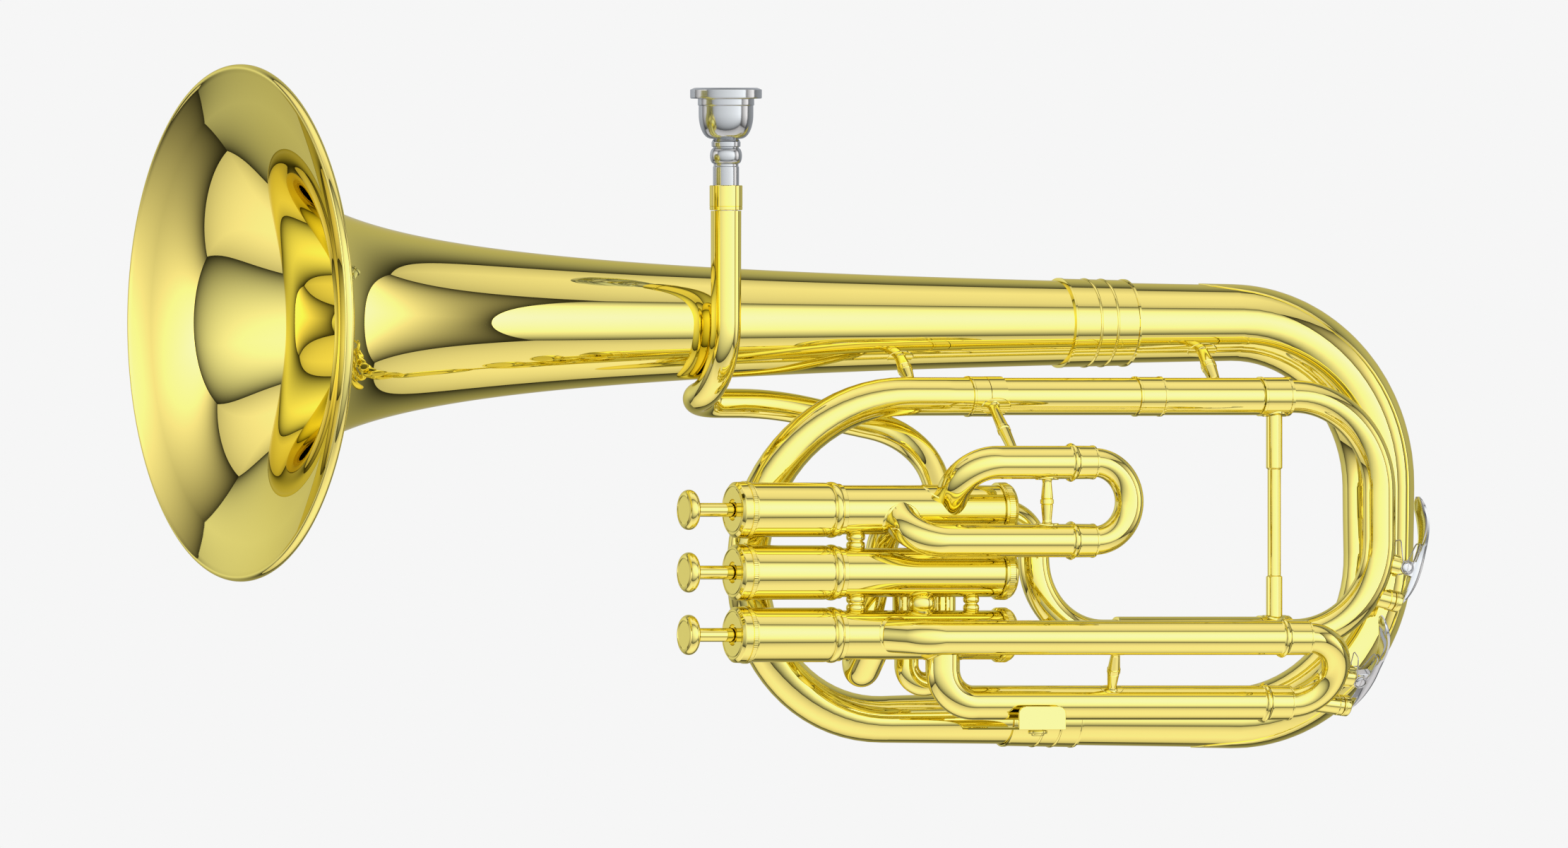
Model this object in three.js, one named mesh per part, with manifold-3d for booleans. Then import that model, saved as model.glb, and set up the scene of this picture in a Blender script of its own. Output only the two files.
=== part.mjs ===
// A three-valve euphonium in brass, with a silver-plated mouthpiece, as separate pieces.
// Millimetres. +X runs along the bell axis from the bell's mouth to the bows, +Z is the way the
// mouthpiece points, and -Y is the player's side, where the valves are. The origin is the centre
// of the bell's mouth. Places are written as (x, up, out), where out is the distance towards -Y.
import * as THREE from 'three';
import { mergeVertices } from 'three/addons/utils/BufferGeometryUtils.js';
import Module from 'manifold-3d';

const wasm = await Module();
wasm.setup();

// ---- Driving dimensions ----
const GAP = 0.3; // clearance between soldered or resting neighbours
const WALL = 0.9; // brass tube wall
const TURN_STEP = Math.PI / 6; // one ring of vertices for this much bend
const SMALL = 12; // sides of a small tube and of the valves
const LARGE = 16; // sides of the bow and of the cuts for round neighbours
const BELL_SIDES = 28;

const BELL_SCALE = 686; // the bell's radius is BELL_SCALE / (x + BELL_SHIFT) ^ BELL_POWER plus a lip
const BELL_SHIFT = 30;
const BELL_POWER = 0.544;
const LIP_HEIGHT = 38;
const LIP_LENGTH = 9;
const RIM_BEAD = 2.2; // radius of the rolled bead at the rim
const BELL_END = 509.5;

const BOW_X = 682; // the bow's outermost centreline
const BOW_BEND = 88;
const BRANCH_UP = -213; // centreline of the bottom branch
const LOOP_X = 295.4; // the loop's outermost centreline on the valve side
const LOOP_BEND = 87;

const LEG_UP = -39.7; // upper leg of the main tuning slide
const LOWER_LEG_UP = -168.6;
const LEG_OUT = 39;
const SLEEVE_END = 592;
const SLEEVE_RADIUS = 10.1;
const SLEEVE_BORE = 9.2;
const TUNING_RADIUS = 8.8;
const TUNING_X = 664.5;
const TUNING_BEND = 51;
const COLLAR_RADIUS = 10.7;
const COLLAR_LENGTH = 17.6;
const BRACE_X = 601.6;

const VALVE_OUT = 74;
const VALVE_UP = [-100.9, -134.7, -168.4];
const CASING_RADIUS = 13.3; // lower part of a casing
const UPPER_CASING_RADIUS = 14.75;
const CASING_BORE = 12.35;
const PISTON_RADIUS = 12;
const PISTON_START = 331;
const PISTON_END = 399;
const STEM_RADIUS = 3.75;

const PIPE_X = 273.5; // the leadpipe's upright part
const PIPE_OUT = 40.3;
const RECEIVER_TOP = 74.3;
const RECEIVER_BOTTOM = 60.9;

const FIRST = { radius: 9, bore: 8.25, crook: 7.8, upper: [-75.3, 98], lower: [-117.5, 98], end: 454 };
const THIRD = { radius: 9.35, bore: 8.6, crook: 8.1, upper: [-169.9, 98], lower: [-205, 74], end: 580 };
const KEY_LIFT = 7.1; // a water key's pivot above the crook it sits on
const CUP_AT = -18.9; // its cup, measured along the lever from the pivot
const CUP_LOW = -2.6; // the cup's open end, measured from the pivot away from the crook
const SECOND = { radius: 7.6, bore: 6.95, crook: 6.6, near: 380, far: 401, out: 43, end: -171 };

// ---- Materials ----
const brass = new THREE.MeshStandardMaterial({ color: 0xe8c84a, metalness: 1, roughness: 0.12 });
const silver = new THREE.MeshStandardMaterial({ color: 0xd4d8de, metalness: 1, roughness: 0.1 });
const steel = new THREE.MeshStandardMaterial({ color: 0x9da2a8, metalness: 1, roughness: 0.35 });

const euphonium = new THREE.Group();

// ---- Shape helpers ----
function at(x, up, out) {
  return new THREE.Vector3(x, -out, up);
}

function add(name, geometry, material = brass) {
  const mesh = new THREE.Mesh(geometry, material);
  mesh.name = name;
  euphonium.add(mesh);
  return mesh;
}

// The way along straight runs and round bends: each stop is [x, up, out, bend radius].
function route(...stops) {
  const corners = stops.map(([x, up, out]) => at(x, up, out));
  const way = [];
  const put = (point, heading) => {
    const last = way[way.length - 1];
    const distance = last ? last.distance + last.point.distanceTo(point) : 0;
    if (!last || distance - last.distance > 0.01) way.push({ point, heading, distance });
  };
  const headings = corners.slice(1).map((corner, i) => corner.clone().sub(corners[i]).normalize());
  put(corners[0], headings[0]);
  for (let i = 1; i < corners.length - 1; i++) {
    const turn = headings[i - 1].angleTo(headings[i]);
    const bend = stops[i][3];
    const start = corners[i].clone().addScaledVector(headings[i - 1], -bend * Math.tan(turn / 2));
    const inward = headings[i].clone().sub(headings[i - 1]).normalize();
    const centre = corners[i].clone().addScaledVector(inward, bend / Math.cos(turn / 2));
    const axis = headings[i - 1].clone().cross(headings[i]).normalize();
    const steps = Math.max(2, Math.ceil(turn / TURN_STEP));
    for (let k = 0; k <= steps; k++) {
      const spin = new THREE.Quaternion().setFromAxisAngle(axis, (turn * k) / steps);
      const point = start.clone().sub(centre).applyQuaternion(spin).add(centre);
      put(point, headings[i - 1].clone().applyQuaternion(spin));
    }
  }
  put(corners[corners.length - 1], headings[headings.length - 1]);
  return way;
}

// A list of [distance, radius] pairs; a distance below zero is measured back from the end.
function placed(profile, length) {
  return profile.map(([distance, radius]) => [distance < 0 ? length + distance : distance, radius]);
}

function radiusAt(profile, distance) {
  const next = profile.findIndex(([d]) => d >= distance);
  if (next === 0) return profile[0][1];
  if (next < 0) return profile[profile.length - 1][1];
  const [d0, r0] = profile[next - 1];
  const [d1, r1] = profile[next];
  return r0 + ((r1 - r0) * (distance - d0)) / (d1 - d0);
}

// The way's own points with one more wherever the profile has a step.
function stations(way, profile) {
  const all = [...way];
  for (const [distance] of profile) {
    if (all.some((s) => Math.abs(s.distance - distance) < 0.05)) continue;
    const next = way.findIndex((s) => s.distance > distance);
    if (next <= 0) continue;
    const [before, after] = [way[next - 1], way[next]];
    const share = (distance - before.distance) / (after.distance - before.distance);
    all.push({
      point: before.point.clone().lerp(after.point, share),
      heading: before.heading.clone().lerp(after.heading, share).normalize(),
      distance,
    });
  }
  return all.sort((a, b) => a.distance - b.distance);
}

// A tube along a way, with the outer radius and the bore as profiles. No bore makes a solid rod.
function tube(way, outerProfile, boreProfile, sides = SMALL) {
  const length = way[way.length - 1].distance;
  const outer = placed(outerProfile, length);
  const bore = boreProfile ? placed(boreProfile, length) : null;
  const rings = stations(way, outer);
  const positions = [];
  const index = [];
  let side = new THREE.Vector3(0.31, 0.52, 0.79).cross(rings[0].heading).normalize();
  rings.forEach((ring, i) => {
    if (i > 0) {
      const turn = new THREE.Quaternion().setFromUnitVectors(rings[i - 1].heading, ring.heading);
      side = side.clone().applyQuaternion(turn);
    }
    const across = ring.heading.clone().cross(side);
    for (const radius of [radiusAt(outer, ring.distance), bore ? radiusAt(bore, ring.distance) : 0]) {
      for (let k = 0; k < sides; k++) {
        const angle = (2 * Math.PI * k) / sides;
        const point = ring.point.clone();
        point.addScaledVector(side, radius * Math.cos(angle));
        point.addScaledVector(across, radius * Math.sin(angle));
        positions.push(point.x, point.y, point.z);
      }
    }
  });
  const outside = (i, k) => i * 2 * sides + (k % sides);
  const inside = (i, k) => outside(i, k) + sides;
  const last = rings.length - 1;
  const quad = (a, b, c, d) => index.push(a, b, c, a, c, d);
  for (let k = 0; k < sides; k++) {
    for (let i = 0; i < last; i++) {
      quad(outside(i, k), outside(i, k + 1), outside(i + 1, k + 1), outside(i + 1, k));
      if (bore) quad(inside(i, k), inside(i + 1, k), inside(i + 1, k + 1), inside(i, k + 1));
    }
    if (bore) {
      quad(outside(0, k), inside(0, k), inside(0, k + 1), outside(0, k + 1));
      quad(outside(last, k), outside(last, k + 1), inside(last, k + 1), inside(last, k));
    } else {
      index.push(inside(0, 0), outside(0, k + 1), outside(0, k));
      index.push(inside(last, 0), outside(last, k), outside(last, k + 1));
    }
  }
  const geometry = new THREE.BufferGeometry();
  geometry.setAttribute('position', new THREE.Float32BufferAttribute(positions, 3));
  geometry.setIndex(index);
  return mergeVertices(geometry);
}

// A plain tube of one radius.
function pipe(way, radius, bore = radius - WALL, sides = SMALL) {
  return tube(way, [[0, radius]], [[0, bore]], sides);
}

// A turned piece: profile points are [along, radius], measured from a start point along a heading.
function turned(start, heading, profile, sides = SMALL) {
  const onAxis = profile[0][1] === 0 && profile[profile.length - 1][1] === 0;
  const points = profile.map(([along, radius]) => new THREE.Vector2(radius, along));
  if (!onAxis) points.push(points[0].clone());
  const lathe = new THREE.LatheGeometry(points, sides);
  lathe.deleteAttribute('normal');
  lathe.deleteAttribute('uv');
  const geometry = withoutSlivers(mergeVertices(lathe, 1e-4));
  const turn = new THREE.Quaternion().setFromUnitVectors(new THREE.Vector3(0, 1, 0), heading);
  geometry.applyQuaternion(turn);
  geometry.translate(start.x, start.y, start.z);
  return facingOut(geometry);
}

// Leaves out the triangles that shrank to a line on the axis.
function withoutSlivers(geometry) {
  const kept = [];
  const index = geometry.index.array;
  for (let i = 0; i < index.length; i += 3) {
    const [a, b, c] = [index[i], index[i + 1], index[i + 2]];
    if (a !== b && b !== c && c !== a) kept.push(a, b, c);
  }
  geometry.setIndex(kept);
  return geometry;
}

function facingOut(geometry) {
  const position = geometry.getAttribute('position');
  const index = geometry.index.array;
  const corners = [new THREE.Vector3(), new THREE.Vector3(), new THREE.Vector3()];
  let volume = 0;
  for (let i = 0; i < index.length; i += 3) {
    corners.forEach((corner, k) => corner.fromBufferAttribute(position, index[i + k]));
    volume += corners[0].dot(corners[1].clone().cross(corners[2]));
  }
  if (volume < 0) {
    const flipped = [];
    for (let i = 0; i < index.length; i += 3) flipped.push(index[i], index[i + 2], index[i + 1]);
    geometry.setIndex(flipped);
  }
  return geometry;
}

function solidOf(geometry) {
  const merged = mergeVertices(geometry, 1e-3);
  return new wasm.Manifold(
    new wasm.Mesh({
      numProp: 3,
      vertProperties: Float32Array.from(merged.getAttribute('position').array),
      triVerts: Uint32Array.from(merged.index.array),
    }),
  );
}

function geometryOf(solid) {
  const mesh = solid.getMesh();
  const geometry = new THREE.BufferGeometry();
  geometry.setAttribute('position', new THREE.BufferAttribute(mesh.vertProperties, 3));
  geometry.setIndex(new THREE.BufferAttribute(mesh.triVerts, 1));
  return geometry;
}

function cut(geometry, ...cutters) {
  return geometryOf(cutters.reduce((solid, cutter) => solid.subtract(solidOf(cutter)), solidOf(geometry)));
}

function join(...geometries) {
  return geometryOf(geometries.map(solidOf).reduce((solid, other) => solid.add(other)));
}

// A straight round rod between two points, with its flats no nearer the axis than its radius.
function rod(from, to, radius, sides = SMALL) {
  const heading = to.clone().sub(from);
  const length = heading.length();
  const corner = radius / Math.cos(Math.PI / sides);
  return turned(from, heading.normalize(), [[0, 0], [0, corner], [length, corner], [length, 0]], sides);
}

// Cuts the way through for a casing, a straight tube along X, with the usual gap.
function casingCutter(valve, radius = CASING_RADIUS) {
  const up = VALVE_UP[valve];
  return rod(at(260, up, VALVE_OUT), at(430, up, VALVE_OUT), radius + GAP, LARGE);
}

function alongX(up, out, radius, from = 0, to = 700) {
  return rod(at(from, up, out), at(to, up, out), radius + GAP, LARGE);
}

// A stay between two tubes: thin at both ends and thick at the ring in its middle, trimmed by both tubes.
function stay(name, from, to, thin, thick, ...cutters) {
  const heading = to.clone().sub(from);
  const length = heading.length();
  const middle = length / 2;
  const profile = [
    [0, 0], [0, thin], [middle - 1.3, thick], [middle - 1.2, thick + 0.4], [middle + 1.2, thick + 0.4],
    [middle + 1.3, thick], [length, thin], [length, 0],
  ];
  add(name, cut(turned(from, heading.normalize(), profile, SMALL), ...cutters));
}

// ---- Bell ----
function bellRadius(x) {
  return BELL_SCALE / (x + BELL_SHIFT) ** BELL_POWER + LIP_HEIGHT * Math.exp(-x / LIP_LENGTH);
}

function makeBell() {
  const places = [6, 12, 20, 35, 65, 110, 175, 265, 380, BELL_END];
  const outside = places.map((x) => [x, bellRadius(x)]);
  const inside = places.map((x) => [x, bellRadius(x) - WALL]).reverse();
  const rim = bellRadius(1.5);
  const bead = [
    [1.5, rim - 3.5], [0, rim - 2], [0, rim + 1.2], [0.8, rim + 2.4],
    [2.4, rim + RIM_BEAD + 0.4], [4.2, rim + 1.2],
  ];
  add('bell', turned(at(0, 0, 0), new THREE.Vector3(1, 0, 0), [...bead, ...outside, ...inside], BELL_SIDES));
}

// ---- Main tubing ----
function makeMainTubing() {
  const bow = route([BELL_END + GAP, 0, 0], [BOW_X, 0, 0, BOW_BEND], [BOW_X, BRANCH_UP, 0, BOW_BEND],
    [477, BRANCH_UP, 0]);
  const bowLength = bow[bow.length - 1].distance;
  const bowRadius = [[0, 22], [85, 20.5], [240, 19], [bowLength - 110, 16], [bowLength, 14.6]];
  add('main_bow', tube(bow, bowRadius, bowRadius.map(([d, r]) => [d, r - WALL]), LARGE));

  const loop = route([475.8, BRANCH_UP, 0.4], [LOOP_X, BRANCH_UP - 1.9, 11, LOOP_BEND],
    [LOOP_X, LEG_UP, 33, LOOP_BEND], [405, LEG_UP, LEG_OUT, 60], [427.6, LEG_UP, LEG_OUT]);
  const loopLength = loop[loop.length - 1].distance;
  const loopRadius = [[0, 14.4], [95, 12.6], [240, 11.4], [loopLength - 40, 10.4], [loopLength, 10.3]];
  add('main_loop', tube(loop, loopRadius, loopRadius.map(([d, r]) => [d, r - WALL])));

  add('bell_ferrule', pipe(route([490.6, 0, 0], [530.4, 0, 0]), 24.2, 23.55, LARGE));
  add('branch_ferrule', pipe(route([499, BRANCH_UP, 0], [456.6, BRANCH_UP - 0.1, 0.8]), 16.3, 15.7, LARGE));
}

// ---- Main tuning slide ----
function makeTuningSlide() {
  const upper = route([428, LEG_UP, LEG_OUT], [SLEEVE_END, LEG_UP, LEG_OUT]);
  const bands = [[0, 10.9], [10, 10.9], [10.3, SLEEVE_RADIUS], [89.5, SLEEVE_RADIUS], [89.8, 10.9],
    [105.5, 10.9], [105.8, SLEEVE_RADIUS], [-1, SLEEVE_RADIUS]];
  add('tuning_slide_upper_sleeve', tube(upper, bands, [[0, SLEEVE_BORE]]));
  const lower = route([507, LOWER_LEG_UP, LEG_OUT], [SLEEVE_END, LOWER_LEG_UP, LEG_OUT]);
  add('tuning_slide_lower_sleeve', pipe(lower, SLEEVE_RADIUS, SLEEVE_BORE));

  const start = 522;
  const crook = route([start, LEG_UP, LEG_OUT], [TUNING_X, LEG_UP, LEG_OUT, TUNING_BEND],
    [TUNING_X, LOWER_LEG_UP, LEG_OUT, TUNING_BEND], [start, LOWER_LEG_UP, LEG_OUT]);
  const collar = SLEEVE_END + GAP - start;
  const collarEnd = collar + COLLAR_LENGTH;
  const steps = [[0, TUNING_RADIUS], [collar, TUNING_RADIUS], [collar + 0.3, COLLAR_RADIUS],
    [collarEnd, COLLAR_RADIUS], [collarEnd + 0.3, TUNING_RADIUS]];
  const back = steps.slice(1).map(([d, r]) => [-d, r]).reverse();
  add('tuning_slide_crook', tube(crook, [...steps, ...back], [[0, TUNING_RADIUS - WALL]]));

  const reach = LEG_UP - LOWER_LEG_UP;
  const profile = [[0, 0], [0, 4.4], [31.7, 4.4], [32.2, 3.6], [reach - 39.2, 3.6], [reach - 38.7, 4.4],
    [reach, 4.4], [reach, 0]];
  const brace = turned(at(BRACE_X, LOWER_LEG_UP, LEG_OUT), at(0, 1, 0), profile, SMALL);
  add('tuning_slide_brace', cut(brace, alongX(LEG_UP, LEG_OUT, COLLAR_RADIUS),
    alongX(LOWER_LEG_UP, LEG_OUT, COLLAR_RADIUS)));
}

// ---- Mouthpiece, receiver and leadpipe ----
function makeMouthpipe() {
  const cup = [
    [46, 5.7], [RECEIVER_TOP, 7.05], [84.4, 7.05], [86, 6.9], [87.4, 8.1], [90.2, 8.65],
    [93, 8.1], [94.4, 7.1], [95.4, 7.9], [97.6, 7.9], [99.1, 7.3], [100.6, 10.2],
    [103.6, 12.9], [108, 14.4], [117.5, 14.8], [117.6, 15.25], [121, 15.25],
    [121.1, 19.4], [126.2, 19.4], [127, 18.4], [127, 14.6], [125.8, 13], [120, 12.4], [112, 11.2],
    [106, 7.5], [102, 4.2], [99, 3.3], [46, 4.6],
  ];
  add('mouthpiece', turned(at(PIPE_X, 0, PIPE_OUT), at(0, 1, 0), cup), silver);
  const sleeve = [[RECEIVER_BOTTOM, 7.5], [RECEIVER_BOTTOM, 8.9], [RECEIVER_TOP, 8.9], [RECEIVER_TOP, 7.5]];
  add('mouthpiece_receiver', turned(at(PIPE_X, 0, PIPE_OUT), at(0, 1, 0), sleeve));

  const pipeWay = route([PIPE_X, RECEIVER_BOTTOM - GAP, PIPE_OUT], [PIPE_X, -32.6, PIPE_OUT, 40.3],
    [PIPE_X, -43.2, -10.5, 19], [325, -43.5, -10, 60], [392, -61, 34.5, 48], [393, -97.5, 63]);
  const length = pipeWay[pipeWay.length - 1].distance;
  const leadpipe = tube(pipeWay, [[0, 8.25], [length, 7.6]], [[0, 7.5], [length, 6.9]]);
  add('leadpipe', cut(leadpipe, casingCutter(0)));
}

// ---- Valves ----
function makeValve(number) {
  const up = VALVE_UP[number];
  const name = `valve_${number + 1}_`;
  const centre = at(0, up, VALVE_OUT);
  const forward = new THREE.Vector3(1, 0, 0);
  const turn = (profile, sides) => turned(centre, forward, profile, sides);

  add(`${name}casing`, turn([
    [265, CASING_BORE], [265, 13], [270.4, 13], [270.4, UPPER_CASING_RADIUS], [313, UPPER_CASING_RADIUS],
    [314.5, 15.2], [323.5, 15.2], [325, CASING_RADIUS], [418.6, CASING_RADIUS], [418.6, 12.95],
    [422.5, 12.95], [422.5, CASING_BORE], [329, CASING_BORE], [329, 4.6], [326, 4.6], [326, CASING_BORE],
  ]));
  add(`${name}top_cap`, turn([
    [261.4, 5.65], [261.4, 13.2], [262.9, 15.1], [267.4, 15.3], [267.5, 15.6], [270.1, 15.6],
    [270.1, 13.4], [264.6, 13.4], [264.6, 5.65],
  ]));
  add(`${name}bottom_cap`, turn([
    [418.9, 13.4], [418.9, 14.8], [423.3, 14.8], [425.6, 14.1], [427, 12], [427, 2.5], [422.9, 2.5],
    [422.9, 13.4],
  ]));

  const barrel = turn([
    [PISTON_START, 0], [PISTON_START, PISTON_RADIUS], [PISTON_END, PISTON_RADIUS], [PISTON_END, 10.9],
    [PISTON_START + 3, 10.9], [PISTON_START + 3, 0],
  ]);
  const ports = [[346, 1, -1], [362, -1, 1], [378, 1, 1]];
  const windows = ports.map(([x, across, outward]) => rod(at(x, up, VALVE_OUT),
    at(x, up + across * 14, VALVE_OUT + outward * 14), 6, 8));
  add(`${name}piston`, cut(barrel, ...windows), steel);

  add(`${name}stem`, turn([
    [239.6, 0], [239.6, STEM_RADIUS], [280, STEM_RADIUS], [280, 11], [283, 11], [283, STEM_RADIUS],
    [PISTON_START - GAP, STEM_RADIUS], [PISTON_START - GAP, 0],
  ], SMALL));
  add(`${name}button`, turn([
    [232.3, 0], [232.3, 8.2], [233, 9.8], [235.2, 10.9], [237.4, 10.2], [239.3, 5], [239.3, 0],
  ], SMALL));

  const turns = 4;
  const stepsPerTurn = 6;
  const coil = [];
  const from = 284.3;
  const to = 324.9;
  for (let k = 0; k <= turns * stepsPerTurn; k++) {
    const angle = (2 * Math.PI * k) / stepsPerTurn;
    const x = from + ((to - from) * k) / (turns * stepsPerTurn);
    coil.push([x, up + 8.2 * Math.cos(angle), VALVE_OUT + 8.2 * Math.sin(angle)]);
  }
  const points = coil.map(([x, u, o]) => at(x, u, o));
  const way = points.map((point, i) => ({
    point,
    heading: points[Math.min(i + 1, points.length - 1)].clone().sub(points[Math.max(i - 1, 0)]).normalize(),
    distance: i,
  }));
  add(`${name}spring`, tube(way, [[0, 0.75]], null, 4), steel);
}

function makeCasingLinks() {
  const link = (name, x, valve, radius, profile) => {
    const length = VALVE_UP[valve] - VALVE_UP[valve + 1];
    const body = turned(at(x, VALVE_UP[valve + 1], VALVE_OUT), at(0, 1, 0), profile(length, radius), SMALL);
    add(name, cut(body, casingCutter(valve), casingCutter(valve + 1)));
  };
  const barrel = (length, r) => [[0, 0], [0, r], [length / 2 - 2.6, r], [length / 2 - 2, r + 0.7],
    [length / 2 + 2, r + 0.7], [length / 2 + 2.6, r], [length, r], [length, 0]];
  const ball = (length, r) => [[0, 0], [0, r * 0.8], [length / 2 - 4, r * 0.85], [length / 2, r],
    [length / 2 + 4, r * 0.85], [length, r * 0.8], [length, 0]];
  link('casing_link_1_2', 335, 0, 5, barrel);
  link('casing_link_2_3', 335, 1, 5, barrel);
  link('valve_port_2_3', 374, 1, 7.6, ball);
  link('casing_post_2_3', 404, 1, 4.4, barrel);
}

// ---- Valve slides ----
function slideSleeve(name, stops, size, beadLength, ...cutters) {
  const way = route(...stops);
  const profile = [[0, size.radius], [-beadLength - 0.3, size.radius], [-beadLength, size.radius + 1.4],
    [-0.6, size.radius + 1.4]];
  add(name, cut(tube(way, profile, [[0, size.bore]]), ...cutters));
}

function slideCrook(name, size, start, centre, sectionStart) {
  const half = (size.upper[0] - size.lower[0]) / 2;
  const halfOut = (size.upper[1] - size.lower[1]) / 2;
  const bend = Math.hypot(half, halfOut);
  const corner = centre + bend;
  const way = route([start, ...size.upper], [corner, ...size.upper, bend - 0.02],
    [corner, ...size.lower, bend - 0.02], [start, ...size.lower]);
  const collar = sectionStart - start;
  const steps = [[0, size.crook], [collar, size.crook], [collar + 0.3, size.radius],
    [centre - start - 0.5, size.radius], [centre - start, size.crook]];
  const back = steps.slice(1).map(([d, r]) => [-d, r]).reverse();
  add(name, tube(way, [...steps, ...back], [[0, size.crook - WALL]]));
}

function makeFirstSlide() {
  slideSleeve('first_slide_upper_sleeve', [[388, -98, 80], [388, ...FIRST.upper, 20],
    [FIRST.end, ...FIRST.upper]], FIRST, 2.4, casingCutter(0));
  slideSleeve('first_slide_lower_sleeve', [[357, -103, 80], [357, ...FIRST.lower, 18],
    [FIRST.end, ...FIRST.lower]], FIRST, 2.4, casingCutter(0), casingCutter(1));
  slideCrook('first_slide_crook', FIRST, 412, 466, FIRST.end + GAP);
  stay('first_slide_stay', at(438, ...FIRST.upper), at(438, ...FIRST.lower), 2.5, 3.3,
    alongX(...FIRST.upper, FIRST.radius), alongX(...FIRST.lower, FIRST.radius));
}

function makeThirdSlide() {
  slideSleeve('third_slide_upper_sleeve', [[352, -168.6, 82], [366, ...THIRD.upper, 15],
    [THIRD.end, ...THIRD.upper]], THIRD, 2.4, casingCutter(2));
  slideSleeve('third_slide_lower_sleeve', [[387, -177, 74], [387, ...THIRD.lower, 18],
    [THIRD.end, ...THIRD.lower]], THIRD, 2.4, casingCutter(2));
  slideCrook('third_slide_crook', THIRD, 478, 594, THIRD.end + GAP);
  stay('third_slide_stay', at(480, ...THIRD.upper), at(487, ...THIRD.lower), 2.5, 3.3,
    alongX(...THIRD.upper, THIRD.radius), alongX(...THIRD.lower, THIRD.radius));
}

// The second slide hangs behind its valve and pulls downwards.
function makeSecondSlide() {
  const top = VALVE_UP[1];
  const sleeve = (name, x, level) => {
    const way = route([x, level, VALVE_OUT - 10], [x, level, SECOND.out, 12], [x, SECOND.end, SECOND.out]);
    const profile = [[0, SECOND.radius], [-2.3, SECOND.radius], [-2, SECOND.radius + 0.9]];
    add(name, cut(tube(way, profile, [[0, SECOND.bore]]), casingCutter(1)));
  };
  sleeve('second_slide_near_sleeve', SECOND.near, top);
  sleeve('second_slide_far_sleeve', SECOND.far, top);
  const bend = (SECOND.far - SECOND.near) / 2;
  const low = SECOND.end - 13.5 - bend;
  const start = SECOND.end + 20;
  const way = route([SECOND.near, start, SECOND.out], [SECOND.near, low, SECOND.out, bend - 0.02],
    [SECOND.far, low, SECOND.out, bend - 0.02], [SECOND.far, start, SECOND.out]);
  add('second_slide_crook', pipe(way, SECOND.crook));
}

// ---- Tube from the third valve to the tuning slide ----
function makeOutletTube() {
  const way = route([350, -174, 67], [350, -192, 48, 9], [352.5, -182, 39, 9], [372, -103.4, 38, 22],
    [457, -103.4, 38, 20], [460, LOWER_LEG_UP, LEG_OUT, 41], [506.6, LOWER_LEG_UP, LEG_OUT]);
  add('outlet_tube', cut(pipe(way, 8.5), casingCutter(2)));
}

// ---- Stays between the bell side and the slides ----
function makeStays() {
  stay('bell_to_loop_stay', at(388, 0, 0), at(388, LEG_UP, 38), 3, 3.8,
    alongX(0, 0, bellRadius(384)), alongX(LEG_UP, 38.4, 10.9, 340, 425));
  stay('bow_to_sleeve_stay', at(570, 0, 0), at(570, LEG_UP, LEG_OUT), 3, 3.9,
    alongX(0, 0, 21), alongX(LEG_UP, LEG_OUT, SLEEVE_RADIUS));
  stay('sleeve_to_first_slide_stay', at(431, LEG_UP, LEG_OUT), at(421, ...FIRST.upper), 2.6, 3.3,
    alongX(LEG_UP, LEG_OUT, 10.9), alongX(...FIRST.upper, FIRST.radius));
}

// ---- Finger plate: an L-shaped plate with rounded upper corners, on the bottom branch ----
function makeFingerPlate() {
  const [left, right, low, high, round] = [426.6, 454.6, -219.6, -207, 4];
  const outline = new THREE.Shape();
  outline.moveTo(left, low);
  outline.lineTo(right, low);
  outline.lineTo(right, high - round);
  outline.absarc(right - round, high - round, round, 0, Math.PI / 2);
  outline.lineTo(left + round, high);
  outline.absarc(left + round, high - round, round, Math.PI / 2, Math.PI);
  outline.closePath();
  const upright = extruded(outline, 1.4, 3).rotateX(Math.PI / 2).translate(0, -85.6, 0);
  const shelf = extruded(rectangle(left, -86.5, right, -10), 1.4, 1).translate(0, 0, low);
  add('finger_plate', cut(join(upright, shelf), alongX(BRANCH_UP - 0.6, 2.6, 14.2, 380, 500)));
}

function rectangle(left, low, right, high) {
  return new THREE.Shape([[left, low], [right, low], [right, high], [left, high]]
    .map(([a, b]) => new THREE.Vector2(a, b)));
}

function extruded(shape, depth, curveSegments) {
  const geometry = new THREE.ExtrudeGeometry(shape, { depth, bevelEnabled: false, curveSegments });
  geometry.deleteAttribute('normal');
  geometry.deleteAttribute('uv');
  return facingOut(withoutSlivers(mergeVertices(geometry, 1e-4)));
}

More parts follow.
